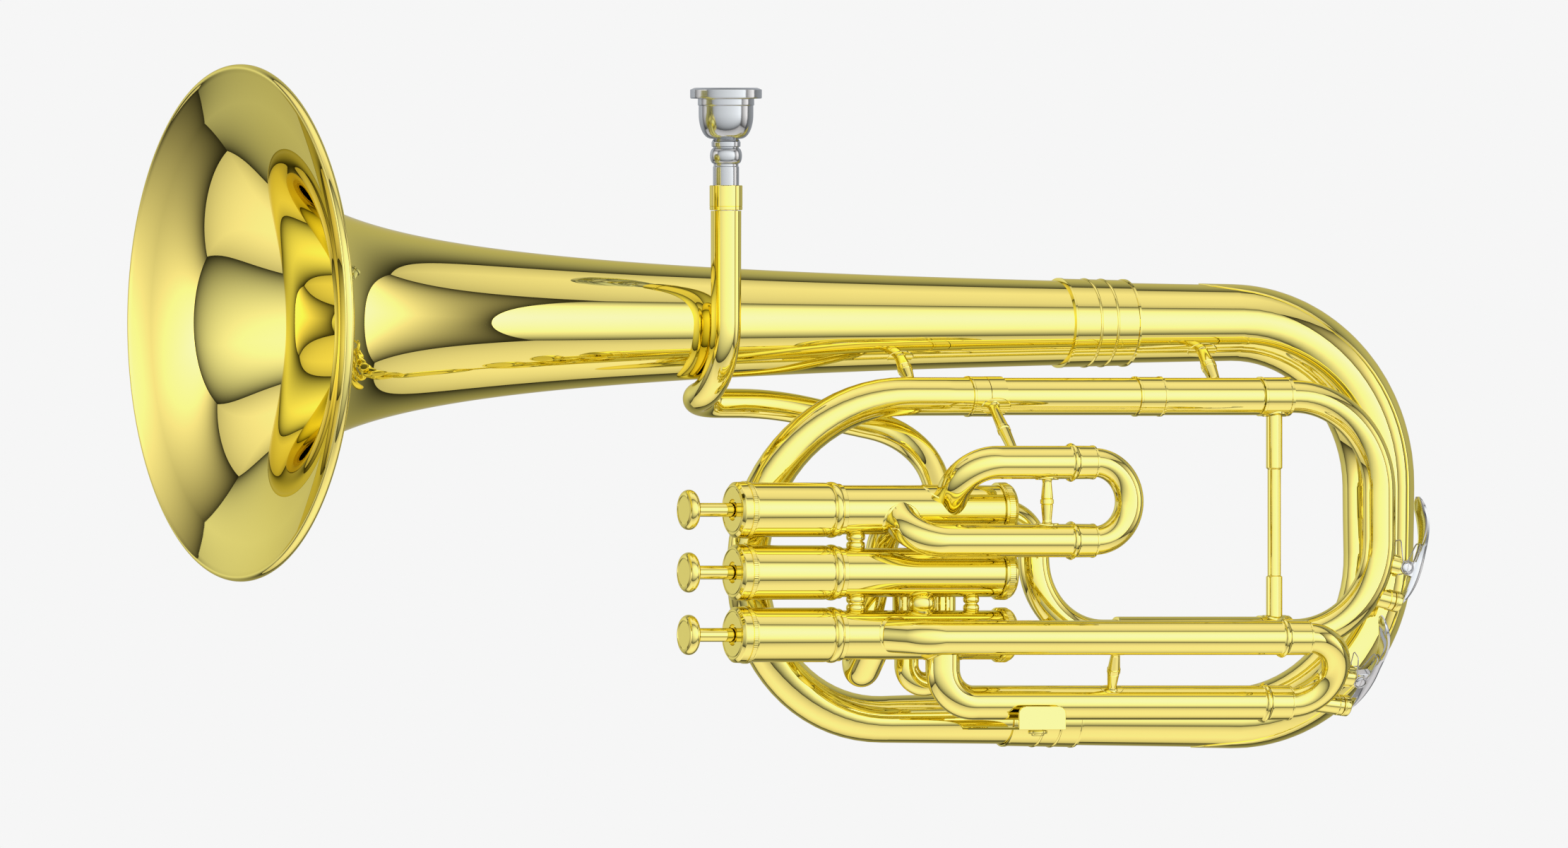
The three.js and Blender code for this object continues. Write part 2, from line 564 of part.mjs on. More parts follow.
// ---- Water keys ----
// centre, arc and pipeRadius describe the crook that the key sits on; along is the direction in
// the crook's plane that the thumb plate points to.
function makeWaterKey(name, crook) {
  const { centre, arc, pipeRadius, along } = crook;
  const forward = new THREE.Vector3(1, 0, 0);
  const angle = -crook.pivotAngle;
  const outward = forward.clone().multiplyScalar(Math.cos(angle)).addScaledVector(along, Math.sin(angle));
  const tangent = forward.clone().multiplyScalar(-Math.sin(angle)).addScaledVector(along, Math.cos(angle));
  const side = new THREE.Vector3().crossVectors(tangent, outward);
  const pivot = centre.clone().addScaledVector(outward, arc + pipeRadius + KEY_LIFT);
  const frame = new THREE.Matrix4().makeBasis(tangent, outward, side).setPosition(pivot);
  const above = (t, o) => pivot.clone().addScaledVector(tangent, t).addScaledVector(outward, o);
  const across = (radius, reach, sides) => rod(
    pivot.clone().addScaledVector(side, -reach), pivot.clone().addScaledVector(side, reach), radius, sides);

  const blank = extruded(leverOutline(), 15, 3).translate(0, 0, -7.5).applyMatrix4(frame);
  const fromAbove = new THREE.Matrix4().makeBasis(tangent, side, outward.clone().negate());
  fromAbove.setPosition(above(0, 12));
  const leaf = extruded(leverLeaf(), 17, 3).applyMatrix4(fromAbove);
  const arm = geometryOf(solidOf(blank).intersect(solidOf(leaf)));
  const cupSide = [[0, 0], [0, 5.75], [3.6, 5.75], [4.4, 4.6], [4.4, 0]];
  const cup = turned(above(CUP_AT, CUP_LOW), outward, cupSide, SMALL);
  add(`${name}_lever`, facingOut(cut(join(arm, cup), across(1.5, 5, 8))), silver);

  const lug = extruded(lugShape(), 1.5, 2);
  const lugs = [-4.5, 3].map((z) => lug.clone().translate(0, 0, z).applyMatrix4(frame));
  const post = turned(above(0, -16), outward, [[0, 0], [0, 5.9], [12, 5.9], [12, 0]], SMALL);
  const bridge = extruded(rectangle(-17, -KEY_LIFT - 9, -3, -KEY_LIFT + 0.6), 5, 1).translate(0, 0, -2.5);
  const nippleEnd = CUP_LOW - GAP + 21;
  const nippleSide = [[0, 0], [0, 5.3], [nippleEnd, 5.3], [nippleEnd, 0]];
  const nipple = turned(above(CUP_AT, -21), outward, nippleSide, SMALL);
  const seat = join(...lugs, post, bridge.applyMatrix4(frame), nipple);
  const drain = turned(above(CUP_AT, -22), outward, [[0, 0], [0, 1.8], [24, 1.8], [24, 0]], 8);
  const crookTube = tube(crook.way, [[0, pipeRadius + GAP]], null, LARGE);
  add(`${name}_seat`, cut(seat, drain, across(1.5, 6, 8), crookTube));
  add(`${name}_screw`, screw(pivot, side.clone().negate()), silver);
}

// The lever from its side: along it and away from the crook, with the pivot at zero.
function leverOutline() {
  const outline = new THREE.Shape();
  outline.moveTo(-20.5, 1.4);
  outline.lineTo(-9, 3.6);
  outline.lineTo(-4.2, 3.4);
  outline.lineTo(-2.8, -1.4);
  outline.lineTo(0, -2.8);
  outline.lineTo(2.8, -1.4);
  outline.lineTo(5, 5.8);
  outline.quadraticCurveTo(21, 9.4, 31.4, 2.8);
  outline.lineTo(39, -0.2);
  outline.lineTo(39.6, 0.8);
  outline.lineTo(32, 5.6);
  outline.quadraticCurveTo(22, 11, 2, 10.2);
  outline.quadraticCurveTo(-12, 9.2, -20.5, 1.4);
  return outline;
}

// The lever from above: narrow at the pivot, leaf-shaped under the thumb.
function leverLeaf() {
  const shape = new THREE.Shape();
  shape.moveTo(-21, -2.7);
  shape.lineTo(9, -2.7);
  shape.quadraticCurveTo(15, -3.4, 20, -5.4);
  shape.quadraticCurveTo(32, -9.6, 37.4, -3.8);
  shape.quadraticCurveTo(40.4, 0, 37.4, 3.8);
  shape.quadraticCurveTo(32, 9.6, 20, 5.4);
  shape.quadraticCurveTo(15, 3.4, 9, 2.7);
  shape.lineTo(-21, 2.7);
  shape.closePath();
  return shape;
}

function lugShape() {
  const shape = new THREE.Shape();
  shape.moveTo(-4.6, -KEY_LIFT - 2);
  shape.lineTo(4.6, -KEY_LIFT - 2);
  shape.lineTo(4.4, -4);
  shape.lineTo(2.9, 0);
  shape.absarc(0, 0, 2.9, 0, Math.PI);
  shape.lineTo(-4.4, -4);
  shape.closePath();
  return shape;
}

function screw(pivot, side) {
  const profile = [[-4.9, 0], [-4.9, 1.2], [4.8, 1.2], [4.8, 3], [5.8, 2.8], [5.8, 0]];
  return turned(pivot, side, profile, SMALL);
}

function makeWaterKeys() {
  const tuningMiddle = SLEEVE_END + 21.5;
  makeWaterKey('tuning_water_key', {
    centre: at(tuningMiddle, LOWER_LEG_UP + TUNING_BEND, LEG_OUT),
    arc: TUNING_BEND,
    pipeRadius: TUNING_RADIUS,
    along: at(0, 1, 0),
    pivotAngle: 0.218,
    way: route([tuningMiddle, LEG_UP, LEG_OUT], [TUNING_X, LEG_UP, LEG_OUT, TUNING_BEND],
      [TUNING_X, LOWER_LEG_UP, LEG_OUT, TUNING_BEND], [tuningMiddle - 1, LOWER_LEG_UP, LEG_OUT]),
  });
  const upper = at(594, ...THIRD.upper);
  const lower = at(594, ...THIRD.lower);
  const bend = upper.distanceTo(lower) / 2;
  makeWaterKey('third_slide_water_key', {
    centre: upper.clone().add(lower).multiplyScalar(0.5),
    arc: bend,
    pipeRadius: THIRD.crook,
    along: upper.clone().sub(lower).normalize(),
    pivotAngle: 0.122,
    way: route([594, ...THIRD.upper], [594 + bend, ...THIRD.upper, bend - 0.02],
      [594 + bend, ...THIRD.lower, bend - 0.02], [593, ...THIRD.lower]),
  });
}

makeBell();
makeMainTubing();
makeTuningSlide();
makeMouthpipe();
for (let number = 0; number < 3; number++) makeValve(number);
makeCasingLinks();
makeFirstSlide();
makeSecondSlide();
makeThirdSlide();
makeOutletTube();
makeStays();
makeFingerPlate();
makeWaterKeys();

export default euphonium;
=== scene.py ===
"""Looks of a three-valve euphonium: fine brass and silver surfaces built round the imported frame.

Places are written in millimetres as (x, up, out), where out is the distance towards the player's
side, -Y, and at() turns them into the frame's metres.
"""
import math

import bpy
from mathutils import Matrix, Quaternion, Vector


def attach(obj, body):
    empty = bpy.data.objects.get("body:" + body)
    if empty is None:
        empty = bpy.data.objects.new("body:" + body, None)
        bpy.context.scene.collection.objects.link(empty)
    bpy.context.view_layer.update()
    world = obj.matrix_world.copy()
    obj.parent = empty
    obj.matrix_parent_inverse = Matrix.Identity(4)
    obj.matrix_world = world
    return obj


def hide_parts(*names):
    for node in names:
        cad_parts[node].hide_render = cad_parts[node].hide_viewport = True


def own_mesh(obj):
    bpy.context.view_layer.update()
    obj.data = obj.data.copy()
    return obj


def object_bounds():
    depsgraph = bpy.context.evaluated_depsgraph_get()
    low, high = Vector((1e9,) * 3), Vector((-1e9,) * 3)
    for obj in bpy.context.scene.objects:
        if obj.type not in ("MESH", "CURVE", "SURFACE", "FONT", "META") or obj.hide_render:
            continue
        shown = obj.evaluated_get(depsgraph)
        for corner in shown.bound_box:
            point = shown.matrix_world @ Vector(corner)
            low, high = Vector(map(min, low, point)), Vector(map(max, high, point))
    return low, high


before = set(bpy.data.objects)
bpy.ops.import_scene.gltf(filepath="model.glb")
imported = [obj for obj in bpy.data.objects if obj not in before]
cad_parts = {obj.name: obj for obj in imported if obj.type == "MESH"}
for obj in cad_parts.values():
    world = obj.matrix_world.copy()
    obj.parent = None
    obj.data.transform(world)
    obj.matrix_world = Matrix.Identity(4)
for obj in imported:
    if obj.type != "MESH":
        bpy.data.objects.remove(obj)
cad_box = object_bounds()

# ---- Driving dimensions, in millimetres ----
MM = 0.001
WALL = 0.8
TURN_STEP = math.radians(5)
FINE = 64  # sides of a turned piece
MEDIUM = 44  # sides of a tube
LEAST_GAP = 0.02

BELL_SCALE = 686
BELL_SHIFT = 30
BELL_POWER = 0.544
LIP_HEIGHT = 38
LIP_LENGTH = 9
BELL_END = 509.5

BOW_X = 682
BOW_BEND = 88
BRANCH_UP = -213
LOOP_X = 295.4
LOOP_BEND = 87

LEG_UP = -39.7
LOWER_LEG_UP = -168.6
LEG_OUT = 39
SLEEVE_END = 592
SLEEVE_RADIUS = 10.1
BAND_RADIUS = 10.9
TUNING_RADIUS = 8.8
TUNING_X = 664.5
TUNING_BEND = 51
TUNING_START = 522
COLLAR_RADIUS = 10.7
COLLAR_LENGTH = 17.6
BRACE_X = 601.6

VALVE_OUT = 74
VALVE_UP = (-100.9, -134.7, -168.4)
CASING_RADIUS = 13.3
UPPER_CASING_RADIUS = 14.75
CASING_BORE = 12.35
STEM_RADIUS = 3.75
LINK_SINK = 12.6  # from a casing's axis to the end of a link, which lies inside the casing's wall

PIPE_X = 273.5
PIPE_OUT = 40.3
RECEIVER_TOP = 74.3
RECEIVER_BOTTOM = 60.9

FIRST = {"radius": 9, "crook": 7.8, "upper": (-75.3, 98), "lower": (-117.5, 98), "end": 454}
THIRD = {"radius": 9.35, "crook": 8.1, "upper": (-169.9, 98), "lower": (-205, 74), "end": 580}
SECOND = {"radius": 7.6, "crook": 6.6, "near": 380, "far": 401, "out": 43, "end": -171}
KEY_LIFT = 7.1  # from a crook's surface to its water key's pivot
CUP_AT = -18.9
CUP_LOW = -2.6
SEAM = 0.1  # between a sleeve's end and its crook's collar
FOOT_SINK = 0.97  # where a stay's end sits, as a share of its tube's radius
SLIDE_FOOT_SINK = 0.96
GUARD_SPREAD = math.radians(58)
GUARD_TIP = 0.1  # the share of the bow guard, at its first end, that faces upward

# ---- The main view ----
VIEW_AZIMUTH = -25.3
VIEW_WIDTH = 0.8469
VIEW_RIGHT = 0.2958
VIEW_UP = -0.05455
VIEW_DISTANCE = 4.0

# ---- The studio: the walls' distances in one unit, measured from the instrument ----
ROOM_LEFT = 2.29
ROOM_RIGHT = 2.36
ROOM_FRONT = 1.0
ROOM_BACK = 0.93
BACK_SLANT = 0.159
ROOM_TOP = 1.65
ROOM_BOTTOM = 1.10
WALL_LIGHT = 2.04
BACK_LIGHT = 0.9
FLAT_LIGHT = 1.1
BACK_RISE = 0.5
WALL_RISE = 0.71
FADE_POWER = 1.37
PAPER = (0.922, 0.922, 0.922, 1)
BRIGHTEST = 0.93

FORWARD = Vector((1, 0, 0))
UPWARD = Vector((0, 0, 1))


def at(x, up, out):
    return Vector((x, -out, up)) * MM


# ---- Materials ----
def new_material(name):
    material = bpy.data.materials.new(name)
    material.use_nodes = True
    nodes, links = material.node_tree.nodes, material.node_tree.links
    return material, nodes, links, nodes["Principled BSDF"]


def noise(nodes, links, place, scale, detail):
    texture = nodes.new("ShaderNodeTexNoise")
    texture.inputs["Scale"].default_value = scale
    texture.inputs["Detail"].default_value = detail
    links.new(place.outputs["Object"], texture.inputs["Vector"])
    return texture


def add_relief(nodes, links, texture, shader, strength):
    relief = nodes.new("ShaderNodeBump")
    relief.inputs["Strength"].default_value = strength
    relief.inputs["Distance"].default_value = 0.0002
    links.new(texture.outputs["Fac"], relief.inputs["Height"])
    links.new(relief.outputs["Normal"], shader.inputs["Normal"])


def node_material(name, base, edge, roughness, roughness_spread, bump, grain):
    """A polished metal whose colour, roughness and surface vary a little, as handled plate does."""
    material, nodes, links, shader = new_material(name)
    shader.inputs["Metallic"].default_value = 1.0
    shader.inputs["Specular Tint"].default_value = (*edge, 1)
    place = nodes.new("ShaderNodeTexCoord")

    smear = noise(nodes, links, place, 26.0, 6.0)
    spread = nodes.new("ShaderNodeMapRange")
    spread.inputs["From Min"].default_value = 0.3
    spread.inputs["From Max"].default_value = 0.75
    spread.inputs["To Min"].default_value = roughness
    spread.inputs["To Max"].default_value = roughness + roughness_spread
    links.new(smear.outputs["Fac"], spread.inputs["Value"])
    links.new(spread.outputs["Result"], shader.inputs["Roughness"])

    tone = noise(nodes, links, place, 9.0, 3.0)
    blend = nodes.new("ShaderNodeMix")
    blend.data_type = "RGBA"
    blend.inputs[6].default_value = (*base, 1)
    blend.inputs[7].default_value = (base[0] * 0.97, base[1] * 0.955, base[2] * 0.9, 1)
    links.new(tone.outputs["Fac"], blend.inputs[0])
    links.new(blend.outputs[2], shader.inputs["Base Color"])

    ripple = noise(nodes, links, place, grain, 2.0)
    add_relief(nodes, links, ripple, shader, bump)
    return material


BRASS = node_material("lacquered_brass", (0.95, 0.85, 0.26), (0.80, 0.74, 0.46), 0.008, 0.02, 0.004, 60.0)
SILVER = node_material("silver_plate", (0.62, 0.65, 0.70), (0.8, 0.82, 0.86), 0.06, 0.05, 0.01, 80.0)
SATIN = node_material("satin_silver", (0.55, 0.58, 0.62), (0.8, 0.82, 0.86), 0.12, 0.05, 0.01, 80.0)
STEEL = node_material("ground_steel", (0.56, 0.57, 0.60), (0.8, 0.8, 0.8), 0.22, 0.12, 0.12, 900.0)


def soft_material(name, light, dark, scale):
    """Cork or felt: speckled, rough and slightly bumpy."""
    material, nodes, links, shader = new_material(name)
    shader.inputs["Roughness"].default_value = 0.9
    speckle = noise(nodes, links, nodes.new("ShaderNodeTexCoord"), scale, 8.0)
    ramp = nodes.new("ShaderNodeValToRGB")
    ramp.color_ramp.elements[0].position = 0.38
    ramp.color_ramp.elements[0].color = (*dark, 1)
    ramp.color_ramp.elements[1].position = 0.6
    ramp.color_ramp.elements[1].color = (*light, 1)
    links.new(speckle.outputs["Fac"], ramp.inputs["Fac"])
    links.new(ramp.outputs["Color"], shader.inputs["Base Color"])
    add_relief(nodes, links, speckle, shader, 0.4)
    return material


CORK = soft_material("natural_cork", (0.56, 0.37, 0.20), (0.22, 0.12, 0.06), 2500.0)
FELT = soft_material("white_felt", (0.78, 0.76, 0.70), (0.55, 0.53, 0.48), 4000.0)


# ---- Shape helpers ----
def piece(name, vertices, faces, material=BRASS, body="body", stands_for=None, crease=35):
    """A smooth mesh on a body. It stands for the CAD node of its own name, unless told otherwise."""
    if stands_for is None:
        stands_for = (name,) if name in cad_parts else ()
    mesh = bpy.data.meshes.new(name)
    mesh.from_pydata([tuple(v) for v in vertices], [], faces)
    mesh.validate()
    mesh.update()
    for polygon in mesh.polygons:
        polygon.use_smooth = True
    mesh.set_sharp_from_angle(angle=math.radians(crease))
    mesh.materials.append(material)
    thing = bpy.data.objects.new(name, mesh)
    bpy.context.scene.collection.objects.link(thing)
    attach(thing, body)
    if stands_for:
        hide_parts(*stands_for)
    return thing


def route(*stops, step=TURN_STEP):
    """The way along straight runs and round bends: each stop is (x, up, out, bend radius)."""
    corners = [at(*stop[:3]) for stop in stops]
    headings = [(b - a).normalized() for a, b in zip(corners, corners[1:])]
    way = [(corners[0], headings[0])]
    for i in range(1, len(corners) - 1):
        into, onward = headings[i - 1], headings[i]
        turn = into.angle(onward)
        bend = stops[i][3] * MM
        start = corners[i] - into * bend * math.tan(turn / 2)
        centre = corners[i] + (onward - into).normalized() * (bend / math.cos(turn / 2))
        axis = into.cross(onward).normalized()
        steps = max(3, math.ceil(turn / step))
        for k in range(steps + 1):
            spin = Quaternion(axis, turn * k / steps)
            way.append((centre + spin @ (start - centre), spin @ into))
    way.append((corners[-1], headings[-1]))
    return with_distances(way)


def with_distances(way):
    """Adds each point's distance along the way, in millimetres, and drops points that coincide."""
    measured = [(way[0][0], way[0][1], 0.0)]
    for point, heading in way[1:]:
        gap = (point - measured[-1][0]).length / MM
        if gap > LEAST_GAP:
            measured.append((point, heading, measured[-1][2] + gap))
    return measured


def way_length(way):
    return way[-1][2]


def placed(profile, length):
    """A profile is (distance, radius) pairs; a distance below zero counts back from the end."""
    return [(length + d if d < 0 else d, r) for d, r in profile]


def guarded(profile, reach=0.4, least=2.0, bend=0.08):
    """Adds a point on long runs close to each real corner, so that smooth shading stays in the corner."""
    runs = [Vector(b) - Vector(a) for a, b in zip(profile, profile[1:])]
    turns = [0.0] + [a.angle(b, 0.0) for a, b in zip(runs, runs[1:])] + [0.0]
    out = [profile[0]]
    for k, run in enumerate(runs):
        if run.length > least:
            step = run.normalized() * reach
            if turns[k] > bend:
                out.append(tuple(Vector(profile[k]) + step))
            if turns[k + 1] > bend:
                out.append(tuple(Vector(profile[k + 1]) - step))
        out.append(profile[k + 1])
    return out


def value_at(profile, distance):
    """The profile's radius at a distance."""
    if distance <= profile[0][0]:
        return profile[0][1]
    for (d0, r0), (d1, r1) in zip(profile, profile[1:]):
        if distance <= d1:
            return r0 + (r1 - r0) * (distance - d0) / (d1 - d0)
    return profile[-1][1]


def place_at(way, distance):
    """The point and heading at a distance along a way."""
    for (p0, h0, d0), (p1, h1, d1) in zip(way, way[1:]):
        if distance <= d1:
            share = (distance - d0) / (d1 - d0)
            return p0.lerp(p1, share), h0.lerp(h1, share).normalized()
    return way[-1][0], way[-1][1]


def stations(way, profile):
    """The way's points with one at each profile step, and one near each end of a long straight run."""
    merged = list(way)
    for distance, _ in profile:
        if all(abs(s[2] - distance) > LEAST_GAP for s in merged) and 0 < distance < way_length(way):
            merged.append((*place_at(way, distance), distance))
    merged.sort(key=lambda s: s[2])
    for before, after in list(zip(merged, merged[1:])):
        if after[2] - before[2] > 6 and before[1].angle(after[1], 0.0) < 0.001:
            for distance in (before[2] + 1, after[2] - 1):
                merged.append((*place_at(way, distance), distance))
    return sorted(merged, key=lambda s: s[2])


def carried_sides(rings):
    """A sideways direction for each ring, carried along the way without twisting."""
    heading = rings[0][1]
    side = Vector((0.31, 0.52, 0.79)).cross(heading).normalized()
    sides = [side]
    for ring in rings[1:]:
        side = heading.rotation_difference(ring[1]) @ side
        heading = ring[1]
        sides.append(side.copy())
    return sides


def tube(name, way, profile, wall=WALL, sides=MEDIUM, **looks):
    """A tube along a way with its outer radius as a profile. No wall makes a solid rod."""
    outer = guarded(placed(profile, way_length(way)))
    rings = stations(way, outer)
    least = [min(value_at(outer, ring[2]), value_at(outer, ring[2] + 2), value_at(outer, ring[2] - 2))
             for ring in rings]
    vertices, faces = [], []
    for ring, side, low in zip(rings, carried_sides(rings), least):
        across = ring[1].cross(side)
        radii = [value_at(outer, ring[2])]
        if wall:
            radii.append(low - wall)
        for radius in radii:
            for k in range(sides):
                angle = 2 * math.pi * k / sides
                vertices.append(ring[0] + (side * math.cos(angle) + across * math.sin(angle)) * radius * MM)
    layers = 2 if wall else 1
    last = len(rings) - 1

    def spot(i, k, layer=0):
        return (i * layers + layer) * sides + k % sides

    for k in range(sides):
        for i in range(last):
            faces.append((spot(i, k), spot(i, k + 1), spot(i + 1, k + 1), spot(i + 1, k)))
            if wall:
                faces.append((spot(i, k, 1), spot(i + 1, k, 1), spot(i + 1, k + 1, 1), spot(i, k + 1, 1)))
        if wall:
            faces.append((spot(0, k), spot(0, k, 1), spot(0, k + 1, 1), spot(0, k + 1)))
            faces.append((spot(last, k), spot(last, k + 1), spot(last, k + 1, 1), spot(last, k, 1)))
    if not wall:
        faces.append([spot(0, k) for k in reversed(range(sides))])
        faces.append([spot(last, k) for k in range(sides)])
    return piece(name, vertices, faces, **looks)


def rounded(profile, reach=0.35, steps=3):
    """Rounds each corner of an (along, radius) outline with a small curve."""
    out = [profile[0]]
    for before, corner, after in zip(profile, profile[1:], profile[2:]):
        into = Vector(corner) - Vector(before)
        onward = Vector(after) - Vector(corner)
        cut = min(reach, into.length * 0.45, onward.length * 0.45)
        if cut < LEAST_GAP or into.angle(onward, 0) < 0.12:
            out.append(corner)
            continue
        a = Vector(corner) - into.normalized() * cut
        b = Vector(corner) + onward.normalized() * cut
        for k in range(steps + 1):
            t = k / steps
            bend = a * (1 - t) ** 2 + Vector(corner) * 2 * t * (1 - t) + b * t ** 2
            out.append((bend.x, bend.y))
    out.append(profile[-1])
    return out


def turned(name, start, heading, profile, sides=FINE, wave=None, **looks):
    """A turned piece: profile points are (along, radius) in millimetres, closed or from axis to axis.

    wave(along, angle) adds to the radius, for knurls.
    """
    heading = heading.normalized()
    side = heading.orthogonal().normalized()
    across = heading.cross(side)
    closed = profile[0][1] > 0
    profile = guarded(profile)
    vertices, faces, rings = [], [], []
    for along, radius in profile:
        centre = start + heading * along * MM
        if radius <= 0:
            rings.append([len(vertices)])
            vertices.append(centre)
            continue
        ring = []
        for k in range(sides):
            angle = 2 * math.pi * k / sides
            r = radius + (wave(along, angle) if wave else 0)
            ring.append(len(vertices))
            vertices.append(centre + (side * math.cos(angle) + across * math.sin(angle)) * r * MM)
        rings.append(ring)
    pairs = list(zip(rings, rings[1:]))
    if closed:
        pairs.append((rings[-1], rings[0]))
    for low, high in pairs:
        for k in range(sides):
            n = (k + 1) % sides
            if len(low) == 1 and len(high) == 1:
                continue
            if len(low) == 1:
                faces.append((low[0], high[n], high[k]))
            elif len(high) == 1:
                faces.append((low[k], low[n], high[0]))
            else:
                faces.append((low[k], low[n], high[n], high[k]))
    area = sum(a[0] * b[1] - b[0] * a[1] for a, b in zip(profile, profile[1:] + profile[:1]))
    if area > 0:
        faces = [tuple(reversed(face)) for face in faces]
    return piece(name, vertices, faces, **looks)


def arc(along, level, half_width, height, first, last, steps):
    """Points of an oval arc. Its angle is in degrees, 0 at the top and growing with the distance along."""
    angles = [math.radians(first + (last - first) * k / steps) for k in range(steps + 1)]
    return [(along + half_width * math.sin(a), level + height * math.cos(a)) for a in angles]


def beads(places, base, height, width):
    """Profile steps for round raised rings at the given distances."""
    return [step for place in places for step in arc(place, base(place), width / 2, height, -90, 90, 6)]


def patch(name, point, axis, outward, radius, half_length, half_width, thickness=0.45, **looks):
    """An oval plate that lies round a tube: the foot of a stay."""
    across = axis.cross(outward).normalized()
    rows, spokes = 6, 40
    vertices, faces = [], []
    for layer in (thickness, -0.2):
        for i in range(rows + 1):
            share = i / rows
            edge = 1 if i < rows or layer < 0 else 0.93
            for k in range(spokes):
                angle = 2 * math.pi * k / spokes
                along = half_length * share * edge * math.cos(angle)
                sideways = half_width * share * edge * math.sin(angle)
                turn = sideways / radius
                ring = outward * math.cos(turn) + across * math.sin(turn)
                vertices.append(point + axis * along * MM + ring * (radius + layer) * MM)
    layer_size = (rows + 1) * spokes
    for layer in (0, 1):
        for i in range(rows):
            for k in range(spokes):
                n = (k + 1) % spokes
                a = layer * layer_size + i * spokes
                face = (a + k, a + spokes + k, a + spokes + n, a + n)
                faces.append(face if layer == 0 else face[::-1])
    rim = rows * spokes
    for k in range(spokes):
        n = (k + 1) % spokes
        faces.append((rim + k, layer_size + rim + k, layer_size + rim + n, rim + n))
    return piece(name, vertices, faces, **looks)


def stay(name, start, end, thin, thick, feet=(), **looks):
    """A turned stay, thickest at the ring in its middle, with an oval foot on each tube it joins."""
    heading = end - start
    length = heading.length / MM
    middle = length / 2
    half = [(0, 0), (0, thin + 1.1), (0.5, thin + 0.5), (1.4, thin + 0.1), (2.4, thin)]
    half += [(middle - 1.9, thick), (middle - 1.6, thick - 0.25), (middle - 1.3, thick),
             (middle - 1.1, thick + 0.35)]
    mirror = [(length - a, r) for a, r in reversed(half)]
    turned(name, start, heading, half + mirror, sides=40, **looks)
    body = looks.get("body", "body")
    for number, (point, axis, radius, outward, size) in enumerate(feet):
        patch(f"{name}_foot_{number + 1}", point, axis, outward.normalized(), radius, size, size * 0.6,
              body=body)


# ---- Bell ----
def bell_radius(x):
    return BELL_SCALE / (x + BELL_SHIFT) ** BELL_POWER + LIP_HEIGHT * math.exp(-x / LIP_LENGTH)


def make_bell():
    places = [5.2 + (BELL_END - 5.2) * (k / 120) ** 2.2 for k in range(121)]
    outside = [(x, bell_radius(x)) for x in places]
    inside = [(x, bell_radius(x) - WALL) for x in reversed(places)]
    rim = bell_radius(1.5)
    throat = [(1.2, rim - 2.6)]
    turned("bell", Vector((0, 0, 0)), FORWARD, throat + rim_bead(rim) + outside + inside, sides=192)


def rim_bead(rim):
    """The rolled edge: a round bead with a flat mouth and a groove behind it."""
    return [(max(0.0, x), r) for x, r in arc(2.7, rim + 0.35, 2.7, 2.2, -110, 140, 20) if x < 5.15]


# ---- Main tubing ----
def make_main_tubing():
    bow = route((BELL_END + 0.3, 0, 0), (BOW_X, 0, 0, BOW_BEND), (BOW_X, BRANCH_UP, 0, BOW_BEND),
                (477, BRANCH_UP, 0))
    length = way_length(bow)
    radius = [(0, 22), (85, 20.5), (240, 19), (length - 110, 16), (length, 14.6)]
    tube("main_bow", bow, radius, sides=80)
    make_bow_guard(bow, radius)

    loop = route((475.8, BRANCH_UP, 0.4), (LOOP_X, BRANCH_UP - 1.9, 11, LOOP_BEND),
                 (LOOP_X, LEG_UP, 33, LOOP_BEND), (405, LEG_UP, LEG_OUT, 60), (427.6, LEG_UP, LEG_OUT))
    length = way_length(loop)
    tube("main_loop", loop, [(0, 14.4), (95, 12.6), (240, 11.4), (length - 40, 10.4), (length, 10.3)],
         sides=64)

    def bell_band(distance):
        return 24.0 - 0.9 * distance / 39.8

    rings = beads((15.7, 25.7), bell_band, 0.55, 1.5)
    profile = [(0, 23.0), (0.25, 24.35), (1.4, 24.35), (1.7, bell_band(1.7))] + rings
    profile += [(38.2, bell_band(38.2)), (38.5, 23.7), (39.6, 23.7), (39.8, 22.6)]
    tube("bell_ferrule", route((490.6, 0, 0), (530.4, 0, 0)), profile, wall=0.2, sides=96)

    def branch_band(distance):
        return 16.0 - 0.8 * distance / 45

    profile = [(0, 15.2), (0.25, 16.3), (1.3, 16.3), (1.6, branch_band(1.6))]
    profile += beads((13.4, 24), branch_band, 0.5, 1.4)
    profile += [(40.6, branch_band(40.6)), (40.9, 15.7), (42.0, 15.7), (42.3, 14.9)]
    tube("branch_ferrule", route((499, BRANCH_UP, 0), (456.6, BRANCH_UP - 0.1, 0.8)), profile, wall=0.2,
         sides=80)


